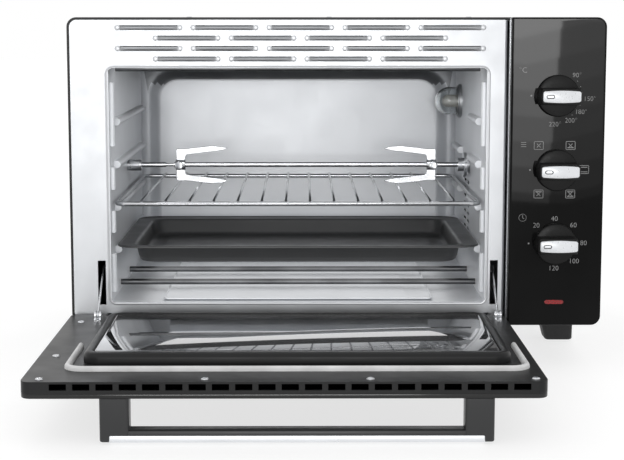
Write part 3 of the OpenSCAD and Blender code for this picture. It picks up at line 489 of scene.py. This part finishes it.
def frame_return():
    """The front frame's right edge, bent back beside the control panel, and the bright trim there."""
    panel_left = corners("control_panel")[0].x
    bend, sheet, leg = 3, 0.6, 12
    z0, z1 = FRAME_LOW.z + 0.2, FRAME_HIGH.z - 0.2
    bow = arc(FRAME_HIGH.x - 0.3, FRONT + bend, bend, -90, 0, 8)
    inner = [(x - sheet, y + sheet) for x, y in reversed(bow)]
    end_x, end_y = bow[-1]
    outline = bow + [(end_x, end_y + leg), (end_x - sheet, end_y + leg)] + inner
    Shape().loft([(outline, z0), (outline, z1)]).piece("frame_return", "oven", "stainless")
    trim = Shape()
    trim.block((panel_left - 0.9, FRONT - 12, z0 - 1.5), (panel_left - 0.1, FRONT + 4, z1 + 1.5), 0.3)
    trim.piece("panel_trim", "oven", "chrome_wire")


def shell_hem():
    """The shell's front edge, folded over."""
    low, high = corners("outer_shell")
    inset, radius, corner = 1.2, 1.18, 9
    half_w, half_h = (high.x - low.x) / 2 - inset, (high.z - low.z) / 2 - inset
    path = [(u, low.y + inset, (low.z + high.z) / 2 + v)
            for u, v in rounded(half_w, half_h, corner - inset, 8)]
    Shape().tube(path, radius, 8, closed=True).piece("shell_hem", "oven", "black_shell")


def feet():
    """Four moulded feet with eased edges, drawn in towards the sole."""
    low, high = corners("feet")
    shape = Shape()
    foot_w, foot_l, taper = 38, 38, 10
    for sx in (-1, 1):
        for y in (low.y + foot_l / 2, high.y - foot_l / 2):
            x = (high.x - foot_w / 2) * sx
            stack = []
            for share, level, cut in ((0, 0, 1.5), (0, 0.5, 0.5), (0, 1.4, 0), (0.5, high.z / 2, 0),
                                      (1, high.z - 3, 0), (1, high.z, 0)):
                half_w = foot_w / 2 - (1 - share) * taper / 2 - cut
                half_l = foot_l / 2 - (1 - share) * taper / 2 - cut
                shift = (sx * (1 - share) * taper / 2, 0)
                stack.append((rounded(half_w, half_l, 5 - cut, 6, shift), level))
            shape.loft(stack, centre=(x, y, 0))
    shape.piece("moulded_feet", "oven", "rubber_black", ["feet"])


# ---- Screws ----
def screw_head(radius, height):
    """A domed head with a cross recess, its axis along +Z and its seat at 0."""
    shape = Shape()
    arm, half = 0.55 * radius, 0.13 * radius
    cross = []
    for k in range(4):
        turn = Matrix.Rotation(math.pi / 2 * k, 2)
        cross += [turn @ Vector(p) for p in
                  ((half, half), (arm * 0.7, half), (arm, half * 0.8), (arm, 0), (arm, -half * 0.8),
                   (arm * 0.7, -half))]
    cross.sort(key=lambda p: math.atan2(p.y, p.x))
    angles = [math.atan2(p.y, p.x) for p in cross]
    rows = [(radius, 0), (radius, height * 0.3), (radius * 0.92, height * 0.62),
            (radius * 0.8, height * 0.85), (radius * 0.66, height)]
    rings = [[(r * math.cos(t), r * math.sin(t), z) for t in angles] for r, z in rows]
    rings.append([(p.x, p.y, height) for p in cross])
    rings.append([(p.x * 0.7, p.y * 0.7, height * 0.35) for p in cross])
    head = shape.rings(rings).mesh("head", 25)
    head.transform(Matrix.Scale(1 / MM, 4))
    return head


def screws(name, places, radius, height, body, replaced):
    """Screws at (point, outward direction); each is turned a little differently."""
    head = screw_head(radius, height)
    shape = Shape()
    for k, (point, out) in enumerate(places):
        aim = Vector(out).to_track_quat("Z", "Y").to_matrix().to_4x4()
        spin = Matrix.Rotation(0.7 * k, 4, "Z")
        shape.add(head, Matrix.Translation(point) @ aim @ spin)
    shape.piece(name, body, "steel_pin", [replaced], sharp=40)


def cover_screws():
    low, high = corners("outer_shell")
    back = middle("cover_screws").y
    from_ends, from_sides = 40, 90
    places = []
    for z in (low.z + from_ends, (low.z + high.z) / 2, high.z - from_ends):
        for s, x in ((-1, low.x), (1, high.x)):
            places.append((Vector((x, back, z)), (s, 0, 0)))
    for x in (low.x + from_sides, 0, high.x - from_sides):
        places.append((Vector((x, back, high.z)), (0, 0, 1)))
    screws("shell_screws", places, 3.4, 1.8, "oven", "cover_screws")


def door_screws():
    low, high = corners("door_screws")
    head_r, head_h = 3.2, 1.3
    left, right = low.x + head_r, high.x - head_r
    seat = high.z - head_h
    places = [(Vector((left + i * (right - left) / 3, low.y + head_r, seat)), (0, 0, 1))
              for i in range(4)]
    hinge_y, from_hinge = corners("door_frame")[1].y + 7, (47, 194)
    places += [(Vector((left, hinge_y - back, seat)), (0, 0, 1)) for back in from_hinge]
    screws("liner_screws", places, head_r, head_h, "door", "door_screws")


# ---- Cavity ----
def rear_wall():
    """The back wall, with its wide panel pressed forward on a soft slope; the band above the panel takes
    the darker sheet, painted shade.
    """
    low, high = corners("cavity_rear_wall")
    emboss_z = (MOUTH_LOW + MOUTH_TOP) / 2 + 4
    half_w, half_h = (MOUTH_RIGHT - MOUTH_LEFT) / 2 - 9, (MOUTH_TOP - MOUTH_LOW) / 2 - 12
    depth, slope, steps, corner, corner_loss = 9, 15, 8, 30, 10
    wall_y = high.y - 1
    shift = (0, (low.z + high.z) / 2 - emboss_z)
    stack = [(rounded((high.x - low.x) / 2, (high.z - low.z) / 2, 0.5, 10, shift), wall_y)]
    for i in range(steps + 1):
        t = i / steps
        rise = depth * t * t * (3 - 2 * t)
        stack.append((rounded(half_w - slope * t, half_h - slope * t, corner - corner_loss * t, 10),
                      wall_y - rise))
    wall = Shape().loft(stack, "upright", (MOUTH_X, 0, emboss_z), caps=(False, True)).piece(
        "pressed_rear_wall", "oven", "cavity_metal", ["cavity_rear_wall"], sharp=60)
    # Faces high on the wall and off the panel's raised face take the darker sheet: painted shade along
    # the upper band.
    wall.data.materials.append(LOOKS["ceiling_dark"])
    painted_shade_from = (emboss_z + half_h - corner * 0.62) * MM
    off_panel = (wall_y - depth + 0.2) * MM
    for face in wall.data.polygons:
        if face.center.z > painted_shade_from and face.center.y > off_panel:
            face.material_index = 1
    solid = wall.modifiers.new("sheet", "SOLIDIFY")
    solid.thickness, solid.offset = 0.8 * MM, -1


def lamp_cage():
    """The seat ring round the lamp's glass."""
    low, high = corners("lamp_glass")
    y, z = (low.y + high.y) / 2, (low.z + high.z) / 2
    radius = (high.z - low.z) / 2
    path = [(high.x - 0.8, y + u, z + v) for u, v in circle(radius + 0.9, 40)]
    Shape().tube(path, 0.9, 8, closed=True).piece("lamp_ring", "oven", "zinc_plate")


# ---- Controls ----
def panel_body():
    """The glossy control panel: square beside the door, rounded on its outer corners."""
    low, high = corners("control_panel")
    half_w, half_h = (high.x - low.x) / 2, (high.z - low.z) / 2
    outer, inner = 9, 1.2
    stack = []
    for cut, y in ((0, high.y), (0, low.y + 1.6), (0.15, low.y + 0.9), (0.5, low.y + 0.4),
                   (1.0, low.y + 0.1), (1.8, low.y)):
        radii = [max(r - cut, 0.3) for r in (outer, outer, inner, inner)]
        stack.append((rounded(half_w - cut, half_h - cut, radii, 10), y))
    centre = ((low.x + high.x) / 2, 0, (low.z + high.z) / 2)
    Shape().loft(stack, "upright", centre).piece(
        "panel_moulding", "oven", "panel_gloss", ["control_panel"])


def bar_outline(radius, half_w, steps=6):
    """A bar across a disc: straight sides, ends on the disc's arc."""
    reach = math.degrees(math.asin(half_w / radius))
    return arc(0, 0, radius, -reach, reach, steps) + arc(0, 0, radius, 180 - reach, 180 + reach, steps)


def bowed(half_w, half_h, radius, bow, steps=8):
    """A rounded rectangle whose long sides swell outward by bow."""
    points = []
    for k, (sx, sy) in enumerate([(1, -1), (1, 1), (-1, 1), (-1, -1)]):
        start = -90 + 90 * k
        points += arc(sx * (half_w - radius), sy * (half_h - radius), radius, start, start + 90, steps)
        if k in (1, 3):
            side = sx * (half_w - radius)
            points += [(side * (1 - 2 * i / 9), sy * half_h) for i in range(1, 9)]
    return [(x, y * (1 + bow / half_h * (1 - (x / half_w) ** 2))) for x, y in points]


def control_knob(name, body, node, insert):
    """A knob: a skirt against the panel, a grip bar across it and a shaft behind."""
    low, high = corners(node)
    grip_half, shaft_r, shaft_l = 7.5, 3, 13
    tip = corners(insert)[0].y + 0.6
    radius = (high.x - low.x) / 2
    centre = Vector(((low.x + high.x) / 2, 0, (low.z + high.z) / 2))
    seat = corners("control_panel")[0].y - 0.6
    shape = Shape()
    skirt = [(radius, seat), (radius, seat - 3.6), (radius - 0.3, seat - 4.5),
             (radius - 0.9, seat - 5.2), (radius - 1.9, seat - 5.5), (radius - 7, seat - 5.9)]
    shape.loft([(circle(r, 56), y) for r, y in skirt], "upright", centre)
    grip = [(0, seat - 3), (0, tip + 3), (0.2, tip + 1.2), (0.7, tip + 0.4), (1.3, tip + 0.1),
            (1.6, tip + 0.25)]
    shape.loft([(bar_outline(radius - 0.4 - cut, grip_half - cut), y) for cut, y in grip],
               "upright", centre)
    shape.tube([centre + Vector((0, seat - 1, 0)), centre + Vector((0, seat + shaft_l, 0))],
               shaft_r, 20)
    shape.piece(name, body, "knob_black", [node])


def knob_insert(name, body, node):
    """The silver insert of a knob, bowed along both sides, with its pointer mark."""
    low, high = corners(node)
    shift, half_w, half_h, bow = 0.3, 17.3, 4.8, 0.9
    centre = Vector(((low.x + high.x) / 2 + shift, 0, (low.z + high.z) / 2))
    stack = [(0, high.y), (0, low.y + 0.9), (0.25, low.y + 0.35), (0.9, low.y)]
    Shape().loft([(bowed(half_w - c, half_h - c, 1.9 - c, bow), y) for c, y in stack],
                 "upright", centre).piece(name, body, "silver_plastic", [node])
    mark = [centre + Vector((u, low.y + 0.05, v)) for u, v in
            rounded(3.5, 1.45, 1.44, 6, (-half_w + 6.8, 0))]
    Shape().tube(mark, 0.42, 6, closed=True).piece(name + "_mark", body, "knob_black")


PRINT_DEPTH = 0.06
DIAL = 6.5  # letter size of the numbers round a knob


class Print:
    """Thin light lettering and signs on the control panel, drawn round a knob's centre."""

    def __init__(self):
        self.shape = Shape()
        self.y = corners("control_panel")[0].y
        self.centre = None

    def about(self, node):
        self.centre = middle(node)
        return self

    def word(self, text, dx, dz, size=DIAL):
        curve = bpy.data.curves.new(text, "FONT")
        curve.body, curve.size = text, size
        curve.align_x, curve.align_y = "CENTER", "CENTER"
        curve.extrude, curve.resolution_u = PRINT_DEPTH / 2, 3
        curve.offset = -0.09
        holder = bpy.data.objects.new(text, curve)
        bpy.context.collection.objects.link(holder)
        bpy.context.view_layer.update()
        graph = bpy.context.evaluated_depsgraph_get()
        mesh = bpy.data.meshes.new_from_object(holder.evaluated_get(graph))
        bpy.data.objects.remove(holder)
        place = Vector((self.centre.x + dx, self.y - PRINT_DEPTH / 2, self.centre.z + dz))
        self.shape.add(mesh, Matrix.Translation(place) @ Matrix.Rotation(math.pi / 2, 4, "X"))
        return self

    def line(self, x0, z0, x1, z1, width=0.45):
        """A straight stroke."""
        a, b = Vector((x0, z0)), Vector((x1, z1))
        along = (b - a).normalized() * width / 2
        side = Vector((-along.y, along.x))
        ends = [a - along - side, b + along - side, b + along + side, a - along + side]
        self.outline([(p.x, p.y) for p in ends])
        return self

    def dot(self, dx, dz, radius):
        return self.outline([(dx + u, dz + v) for u, v in circle(radius, 16)])

    def outline(self, points):
        self.shape.loft([(points, self.y - PRINT_DEPTH), (points, self.y)], "upright",
                        (self.centre.x, 0, self.centre.z))
        return self

    def frame(self, dx, dz):
        """The box round a sign."""
        w, h = 8.4, 7.4
        for s in (-1, 1):
            self.line(dx - w / 2, dz + s * h / 2, dx + w / 2, dz + s * h / 2)
            self.line(dx + s * w / 2, dz - h / 2, dx + s * w / 2, dz + h / 2)
        return self


def panel_print():
    """Numbers and signs round the three knobs."""
    mark = Print().about("temperature_insert")
    mark.word("°C", -32.3, 23.2, 7.2)
    for text, dx, dz in (("90°", 17.2, 18.6), ("150°", 29.4, -3), ("180°", 21.6, -15),
                         ("200°", 12.6, -22.9), ("220°", -2.2, -26.4)):
        mark.word(text, dx, dz, DIAL * 0.94)
    for i in range(9):
        turn = math.radians(52 - i * 15)
        mark.dot(22.2 * math.cos(turn), 22.2 * math.sin(turn), 0.35)
    mark.dot(-24.5, 0, 0.8)
    mark.about("function_insert").dot(-24.5, 0, 0.8)
    signs = {(-16.8, 22.7): "X", (12.6, 22.7): "BX", (25.6, 0.4): "TB", (-16.2, -22.3): "TX",
             (13.2, -22.3): "TBX"}
    for (dx, dz), parts in signs.items():
        mark.frame(dx, dz)
        for z in [dz + 2.1 for p in parts if p == "T"] + [dz - 2.1 for p in parts if p == "B"]:
            mark.line(dx - 2.7, z, dx + 2.7, z, 0.6)
        if "X" in parts:
            for rise in (-1.6, 1.6):
                mark.line(dx - 1.6, dz + rise, dx + 1.6, dz - rise)
    for s in (-1, 0, 1):
        mark.line(-33, 23.6 + s * 1.9, -28.6, 23.6 + s * 1.9, 0.4)
    mark.about("timer_insert").dot(-24.5, 0, 0.8)
    for text, dx, dz in (("20", -17.7, 16.8), ("40", -0.9, 23), ("60", 16.8, 17), ("80", 26.6, 0.2),
                         ("100", 18, -16.8), ("120", -0.9, -23.5)):
        mark.word(text, dx, dz)
    ring = circle(3.4, 24)
    clock_x, clock_z, stroke = -30.6, 24.1, 0.4
    for (u0, v0), (u1, v1) in zip(ring, ring[1:] + ring[:1]):
        mark.line(clock_x + u0, clock_z + v0, clock_x + u1, clock_z + v1, stroke)
    mark.line(clock_x, clock_z, clock_x, clock_z + 2.1, stroke)
    mark.line(clock_x, clock_z, clock_x + 1.4, clock_z - 0.9, stroke)
    mark.shape.piece("panel_print", "oven", "silver_plastic", look=print_ink().mat)


def print_ink():
    look = Look("print_ink")
    look.colour(look.noise(2, 3), grey(0.24), grey(0.3))
    return look.roughness(look.noise(1, 3), 0.45, 0.6)


# ---- Door ----
def outer_glass_plate():
    """The door's outer pane, with eased edges."""
    low, high = corners("door_outer_glass")
    half_w, half_l = (high.x - low.x) / 2, (high.y - low.y) / 2
    stack = []
    for cut, z in ((1.1, low.z), (0.35, low.z + 0.35), (0, low.z + 1.1), (0, high.z - 0.7),
                   (0.3, high.z)):
        stack.append((rounded(half_w - cut, half_l - cut, 8 - cut, 10), z))
    centre = ((low.x + high.x) / 2, (low.y + high.y) / 2, 0)
    Shape().loft(stack, centre=centre).piece("outer_pane", "door", "outer_glass", ["door_outer_glass"])


def window_surround():
    """The raised frame round the inner pane, rounded over on its outer edge."""
    low, high = corners("window_frame")
    half_w, half_l = (high.x - low.x) / 2, (high.y - low.y) / 2
    top = high.z
    profile = [(0, low.z), (0, top - 4.2), (0.35, top - 2.6), (1.2, top - 1.2), (2.6, top - 0.3),
               (4.2, top), (7.1, top), (7.8, top - 0.3), (8, top - 0.9), (8, top - 3.5),
               (11, top - 3.5), (11, low.z)]
    rings = []
    for cut, z in profile:
        rings.append([Vector((u, v, z)) + Vector(((low.x + high.x) / 2, (low.y + high.y) / 2, 0))
                      for u, v in rounded(half_w - cut, half_l - cut, max(14 - cut, 4), 12)])
    Shape().rings(rings, closed=True).piece("window_surround", "door", "door_enamel",
                                            ["window_frame"], sharp=50)


def inner_pane():
    """The tinted pane inside the raised frame."""
    low, high = corners("door_inner_glass")
    half_w, half_l = (high.x - low.x) / 2, (high.y - low.y) / 2
    stack = [(0.5, low.z), (0, low.z + 0.5), (0, high.z - 0.6), (0.2, high.z - 0.2), (0.7, high.z)]
    centre = ((low.x + high.x) / 2, (low.y + high.y) / 2, 0)
    Shape().loft([(rounded(half_w - c, half_l - c, 6 - c, 12), z) for c, z in stack],
                 centre=centre).piece("inner_pane", "door", "inner_glass", ["door_inner_glass"])


def gasket():
    """The silicone seal: a soft D-shaped bead along three sides, with rounded ends."""
    low, high = corners("door_gasket")
    half, corner = 2.5, 14
    height = high.z - low.z
    left, right, front = low.x + half, high.x - half, low.y + half
    end = high.y - half
    straight = 10  # points along each side
    end_grow = (0.45, 0.8)  # the last two sections shrink to a rounded tip
    path = [(left, end + 1.6), (left, end + 0.6)]
    path += [(left, end + (front + corner - end) * i / straight) for i in range(straight)]
    path += arc(left + corner, front + corner, corner, 180, 270, 12)
    path += arc(right - corner, front + corner, corner, 270, 360, 12)
    path += [(right, front + corner + (end - front - corner) * i / straight)
             for i in range(1, straight + 1)]
    path += [(right, end + 0.6), (right, end + 1.6)]
    section = [(math.cos(t), max(math.sin(t), 0) ** 0.8) for t in
               (math.pi * i / 10 for i in range(11))]
    rings = []
    count = len(path)
    for i, (x, y) in enumerate(path):
        ax, ay = path[max(i - 1, 0)]
        bx, by = path[min(i + 1, count - 1)]
        along = Vector((bx - ax, by - ay, 0)).normalized()
        side = Vector((-along.y, along.x, 0))
        from_end = min(i, count - 1 - i)
        grow = end_grow[from_end] if from_end < len(end_grow) else 1
        rings.append([Vector((x, y, low.z)) + side * half * grow * u
                      + Vector((0, 0, height * grow * v)) for u, v in section])
    Shape().rings(rings).piece("door_seal", "door", "silicone", ["door_gasket"], sharp=60)


def handle():
    """Two arms, the bar between them and the bright strip on the bar's face."""
    low, high = corners("door_handle")
    strip_low, strip_high = corners("handle_facing")
    y, half_l = (low.y + high.y) / 2, (high.y - low.y) / 2
    arm = 23
    shape = Shape()
    for x in (low.x + arm / 2, high.x - arm / 2):
        stack = [(1.4, low.z + 0.1), (0.6, low.z + 0.5), (0.25, low.z + 1.4), (0.25, high.z)]
        shape.loft([(rounded(arm / 2 - c + 0.2, half_l - c, 3 - c, 8), z) for c, z in stack],
                   centre=(x, y, 0))
    bar = [(1.2, strip_high.z), (1.2, strip_high.z + 2.2), (1.6, strip_high.z + 3.3),
           (2.6, strip_high.z + 3.8)]
    shape.loft([(rounded((high.x - low.x) / 2 - arm / 2, half_l - c, 2, 4), z) for c, z in bar],
               centre=((low.x + high.x) / 2, y, 0))
    shape.piece("handle_body", "door", "handle_dark", ["door_handle"])
    half_w = (strip_high.x - strip_low.x) / 2
    stack = [(0.9, strip_low.z), (0.25, strip_low.z + 0.25), (0, strip_low.z + 0.9),
             (0, strip_high.z - 0.7), (0.25, strip_high.z - 0.2), (0.8, strip_high.z)]
    Shape().loft([(rounded(half_w - c, half_l - c, 2.2 - c, 6), z) for c, z in stack],
                 centre=((low.x + high.x) / 2, y, 0)).piece(
        "handle_strip", "door", "handle_silver", ["handle_facing"])


def door_stay(side):
    """A slim pressed bar with an eye at each end, from the door to its spring."""
    node = side + "_stay"
    joint = next(j for j in frame["record"]["behaviour"]["joints"] if j["name"] == node + "_pivot")
    pivot = Vector(joint["pos_m"]) / MM
    lean, length, tip, eye, half_h, half_t = 35, 60, 3.2, 3, 1.9, 0.7
    neck = 50  # degrees from the bar to where its eye begins
    shares = (0.07, 0.3, 0.6, 0.92)  # how far along the bar its points lie
    outline = arc(0, 0, eye, neck, 360 - neck, 10)
    outline += [(length * t, tip * t - half_h) for t in shares]
    outline += arc(length, tip, eye, neck - 180, 180 - neck, 10)
    outline += [(length * t, tip * t + half_h) for t in reversed(shares)]
    turn = Matrix.Rotation(math.radians(lean), 3, "X")
    levels = [(0.94, -half_t), (1, -half_t + 0.2), (1, half_t - 0.2), (0.94, half_t)]
    stack = [([(u * 0.5 * (1 + share) if abs(u) < 1 else u, v * share) for u, v in outline], level)
             for share, level in levels]
    Shape().loft(stack, "side", pivot, turn=turn).piece(
        node + "_bar", joint["child"], "steel_pin", [node], sharp=45)


def stay_springs():
    """Two coil springs, with a mesh of their own; drawn at one length, though the real ones shorten as
    the door closes.
    """
    low, high = corners("stay_springs")
    outer, wire, turns, per_turn = 3.5, 0.55, 17, 12
    shape = Shape()
    radius, steps = outer - wire, turns * per_turn
    for x in (low.x + outer, high.x - outer):
        a = Vector((x, low.y + 1, high.z - outer))
        b = Vector((x, high.y - 1, low.z + outer))
        along = (b - a).normalized()
        up = Vector((0, -along.z, along.y))
        points = []
        for i in range(steps + 1):
            t = 2 * math.pi * i / per_turn
            points.append(a + (b - a) * i / steps + radius * (Vector((1, 0, 0)) * math.sin(t)
                                                              + up * math.cos(t)))
        shape.tube(points, wire, 6)
    coils = shape.piece("spring_coils", "oven", "steel_pin", ["stay_springs"])
    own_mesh(coils)


# ---- Shelf, tray and crumb tray ----
def wire_shelf():
    """A rod bent to a rounded frame, with thinner bars over it."""
    low, high = corners("wire_rack")
    rod, bar, bars, sides_free = 2.2, 1.3, 14, 52
    z = low.z + rod
    left, right, front, back = low.x + rod, high.x - rod, low.y + rod, high.y - rod
    cx, cy = (left + right) / 2, (front + back) / 2
    shape = Shape()
    loop = rounded((right - left) / 2, (back - front) / 2, 9, 8)
    shape.tube([(cx + u, cy + v, z) for u, v in loop], rod, 16, closed=True)
    span = (high.x - low.x) - sides_free
    top = high.z - bar
    for i in range(bars):
        x = cx - span / 2 + i * span / (bars - 1)
        shape.tube([(x, front - 0.8, z + 1.2), (x, front + 1.5, top), (x, cy, top),
                    (x, back - 1.5, top), (x, back + 0.8, z + 1.2)], bar, 10)
    shape.piece("wire_shelf", "shelf", "chrome_wire", ["wire_rack"], sharp=60)


def lofted_pan(name, body, slot, node, profile, corner, sheet):
    """A pressed pan: profile holds (distance in from the edge, height) of its upper side."""
    low, high = corners(node)
    half_w, half_l = (high.x - low.x) / 2, (high.y - low.y) / 2
    centre = Vector(((low.x + high.x) / 2, (low.y + high.y) / 2, 0))

    def ring(cut, z):
        return [centre + Vector((u, v, z)) for u, v in
                rounded(half_w - cut, half_l - cut, max(corner - 0.25 * cut, 3), 12)]

    under = [ring(cut + (0 if i == 0 else sheet * 0.4), z - sheet)
             for i, (cut, z) in enumerate(profile)]
    Shape().rings(under[::-1] + [ring(cut, z) for cut, z in profile]).piece(
        name, body, slot, [node], sharp=40)


def baking_tray():
    low, high = corners("baking_tray")
    top, floor = high.z - 1, low.z + 1
    profile = [(0, top), (0.2, top + 0.7), (0.7, top + 1), (1.3, top + 0.9), (1.9, top + 0.4),
               (2.9, top), (13.8, top), (15, top - 0.25), (16.1, top - 1.1), (16.9, top - 2.6),
               (18.6, floor + 5), (19.4, floor + 2.6), (21, floor + 0.9), (23.5, floor),
               (34, floor), (35.5, floor + 0.5), (38, floor + 0.6)]
    lofted_pan("pressed_tray", "tray", "tray_enamel", "baking_tray", profile, 21, 0.9)


def crumb_tray():
    low, high = corners("crumb_tray")
    top, floor = high.z, low.z + 0.8
    profile = [(0, top - 0.3), (0.25, top), (0.9, top), (1.3, top - 0.4), (1.7, floor + 0.3),
               (2.4, floor), (22, floor), (23, floor + 0.35), (24, floor + 0.4)]
    lofted_pan("pressed_crumb_tray", "crumb_drawer", "cavity_metal", "crumb_tray", profile, 4, 0.7)


# ---- Spit ----
def fork(name, body, node, flip):
    """A hub and a flat plate with two splayed, pointed prongs; flip is -1 on the right."""
    low, high = corners(node)
    y, z = (low.y + high.y) / 2, (low.z + high.z) / 2
    hub_x = low.x if flip > 0 else high.x
    reach, length = (high.z - low.z) / 2, high.x - low.x
    hub_l, hub_r, bore_r, ease = 10, 5.5, 2.6, 0.6
    blade, splay, point, thick, fillet = 6, 3, 17, 2.4, 2.6
    root, tip = reach - splay, length - 0.3

    def at(dx, dy, dz):
        return Vector((hub_x + flip * dx, y + dy, z + dz))

    shape = Shape()
    rows = [(hub_r - ease, 0), (hub_r, ease), (hub_r, hub_l - ease), (hub_r - ease, hub_l)]
    ring = [[at(level, u, v) for u, v in circle(r, 32)] for r, level in rows]
    bore = [[at(level, u, v) for u, v in circle(bore_r, 32)] for level in (hub_l, 0)]
    shape.rings(ring + bore, closed=True)
    shape.piece(name + "_hub", body, "spit_steel", sharp=50)
    plate = Shape()
    for s in (-1, 1):
        outline = [(0.4, 4.8), (hub_l - 0.4, 4.8)]
        outline += arc(hub_l + fillet, root - blade - fillet, fillet, 180, 90, 5)
        outline += [(tip - point, reach - blade)]
        outline += [(tip - point * (1 - t), reach - blade + (blade - splay) * t ** 1.6)
                    for t in (0.3, 0.55, 0.75, 0.9)]
        outline += [(tip, root), (tip - point * 0.12, root + 0.9)]
        outline += [(tip - point * t, reach - 1.3 * (1 - t)) for t in (0.35, 0.6, 0.8, 1)]
        outline += [(hub_l, root)] + arc(2.4, root - 2, 2, 90, 180, 5)
        rings = [[at(u, level, s * v) for u, v in outline] for level in (-thick / 2, thick / 2)]
        plate.rings(rings)
    blades = plate.piece(name, body, "spit_steel", [node], sharp=40)
    edge = blades.modifiers.new("ground_edge", "BEVEL")
    edge.width, edge.segments, edge.limit_method, edge.angle_limit = 0.5 * MM, 2, "ANGLE", 0.9


def thumbscrew(name, body, node):
    """A turned screw with a fluted head."""
    low, high = corners(node)
    x, z = (low.x + high.x) / 2, (low.z + high.z) / 2
    head, shank, flutes, count = 4.55, 1.75, 10, 60

    def fluted(r, notch):
        points = []
        for i in range(count):
            t = 2 * math.pi * i / count
            cut = r - notch * (0.5 + 0.5 * math.cos(flutes * t))
            points.append((cut * math.cos(t), cut * math.sin(t)))
        return points

    face = low.y
    rows = [(fluted(head - 0.9, 0), face), (fluted(head - 0.2, 0.4), face + 0.5),
            (fluted(head, 0.7), face + 1), (fluted(head, 0.7), face + 4),
            (fluted(head - 0.4, 0.4), face + 4.6), (fluted(3, 0), face + 5),
            (fluted(shank, 0), face + 5.2), (fluted(shank, 0), high.y)]
    Shape().loft(rows, "upright", (x, 0, z)).piece(name, body, "spit_steel", [node], sharp=50)


# ---- Stage, light and camera ----
def stage():
    """A plain pale floor that reaches far behind the oven."""
    floor = bpy.data.meshes.new("floor")
    reach = 12.0
    floor.from_pydata([(-reach, -reach, 0), (reach, -reach, 0), (reach, reach, 0), (-reach, reach, 0)],
                      [], [(0, 1, 2, 3)])
    ground = bpy.data.objects.new("floor", floor)
    bpy.context.collection.objects.link(ground)
    look = Look("pale_floor", Emission_Color=(1, 1, 1, 1), Emission_Strength=0.72)
    look.colour(look.noise(400, 2), grey(0.25), grey(0.27))
    look.roughness(look.noise(90, 2), 0.6, 0.7)
    floor.materials.append(look.mat)


def area_light(name, place, aim, size, power):
    """A white card that shines from place towards aim; sizes in metres, power in watts."""
    light = bpy.data.lights.new(name, "AREA")
    light.shape, light.size, light.size_y = "RECTANGLE", size[0], size[1]
    light.energy = power
    lamp = bpy.data.objects.new(name, light)
    bpy.context.collection.objects.link(lamp)
    lamp.location = place
    lamp.visible_camera = False
    out = (Vector(place) - Vector(aim)).normalized()
    lamp.rotation_mode = "QUATERNION"
    lamp.rotation_quaternion = out.to_track_quat("Z", "Y")
    return lamp


def panel_glare():
    """Cards beside the camera, linked to the glossy panel: a slanting glare that fades downward."""
    panel_only = bpy.data.collections.new("panel_only")
    panel_only.objects.link(bpy.data.objects["panel_moulding"])
    steps, tall, top = 10, 0.07, 0.62  # cards down the row, their height, the top one
    even = 2  # cards at the top before the fade starts
    left, wide_right = 0.28, 0.75
    edge_x, edge_z, slant = 0.505, 0.332, 0.091  # the glare's right edge, and its lean
    wide_glow, narrow_glow = (8, 1.47), (21, 1.45)  # radiance, distance from the oven's face
    for i in range(steps):
        z = top - i * tall
        fade = 1 - (max(i - even, 0) / (steps - even)) ** 0.8
        edge = edge_x - (edge_z - z) * slant
        for name, right, glow in (("wide", wide_right, wide_glow), ("narrow", edge, narrow_glow)):
            radiance, ahead = glow
            wide, x = right - left, (left + right) / 2
            card = area_light("card_%s_%d" % (name, i), (x, FRONT * MM - ahead, z), (x, 0, z),
                              (wide, tall), radiance * fade * math.pi * wide * tall)
            card.light_linking.receiver_collection = panel_only


def light_scene():
    """A white room, one wide lamp before the oven, a key from above and two small fills."""
    world = bpy.data.worlds.new("studio")
    bpy.context.scene.world = world
    world.use_nodes = True
    room = world.node_tree.nodes["Background"].inputs
    room["Color"].default_value = (1, 1, 1, 1)
    room["Strength"].default_value = 1.0
    bpy.context.scene.view_settings.view_transform = "Standard"
    x, z = MOUTH_X * MM, (MOUTH_LOW + MOUTH_TOP) / 2 * MM
    deep, fill_in, under_top, under_tray = 150, 60, 3, 2  # millimetres
    cavity = Vector((x, (FRONT + deep) * MM, z))
    area_light("front", (-0.15, -3.6, 0.45), cavity, (1.2, 0.5), 19)
    area_light("key", (-0.9, -1.6, 1.7), cavity, (1.4, 1.4), 3)
    area_light("cavity_fill", (x, (FRONT + fill_in) * MM, (CEILING - under_top) * MM),
               (x, (FRONT + deep) * MM, MOUTH_LOW * MM), (0.3, 0.08), 0.3)
    tray_y, tray_z = middle("baking_tray").y * MM, (corners("baking_tray")[0].z - under_tray) * MM
    area_light("under_tray", (x, tray_y, tray_z), (x, tray_y, 0), (0.3, 0.22), 0.17)


def camera():
    """The viewpoint: a long lens, a little above the oven and looking slightly down."""
    ahead, aside, height = 1.4598, -0.0309, 0.3224
    tilt, turn, lens = 0.1318, 0.0064, 90.42
    data = bpy.data.cameras.new("camera")
    data.sensor_width, data.lens = 36, lens
    data.clip_start, data.clip_end = 0.05, 60
    viewer = bpy.data.objects.new("camera", data)
    bpy.context.collection.objects.link(viewer)
    viewer.location = (aside, FRONT * MM - ahead, height)
    viewer.rotation_euler = (math.pi / 2 - tilt, 0, -turn)
    bpy.context.scene.camera = viewer


def build():
    """Every finer piece, in the order of its section above."""
    dress_nodes()
    vent_lances()
    lance_ends()
    lance_rims()
    mouth_bead()
    frame_return()
    shell_hem()
    feet()
    cover_screws()
    door_screws()
    rear_wall()
    lamp_cage()
    panel_body()
    for use in ("temperature", "function", "timer"):
        control_knob(use + "_grip", use + "_control", use + "_knob", use + "_insert")
        knob_insert(use + "_face", use + "_control", use + "_insert")
    panel_print()
    outer_glass_plate()
    window_surround()
    inner_pane()
    gasket()
    handle()
    door_stay("left")
    door_stay("right")
    stay_springs()
    wire_shelf()
    baking_tray()
    crumb_tray()
    fork("left_prongs", "left_fork_body", "left_fork", 1)
    fork("right_prongs", "right_fork_body", "right_fork", -1)
    thumbscrew("left_screw", "left_thumbscrew_body", "left_thumbscrew")
    thumbscrew("right_screw", "right_thumbscrew_body", "right_thumbscrew")


stage()
camera()
build()
light_scene()
panel_glare()
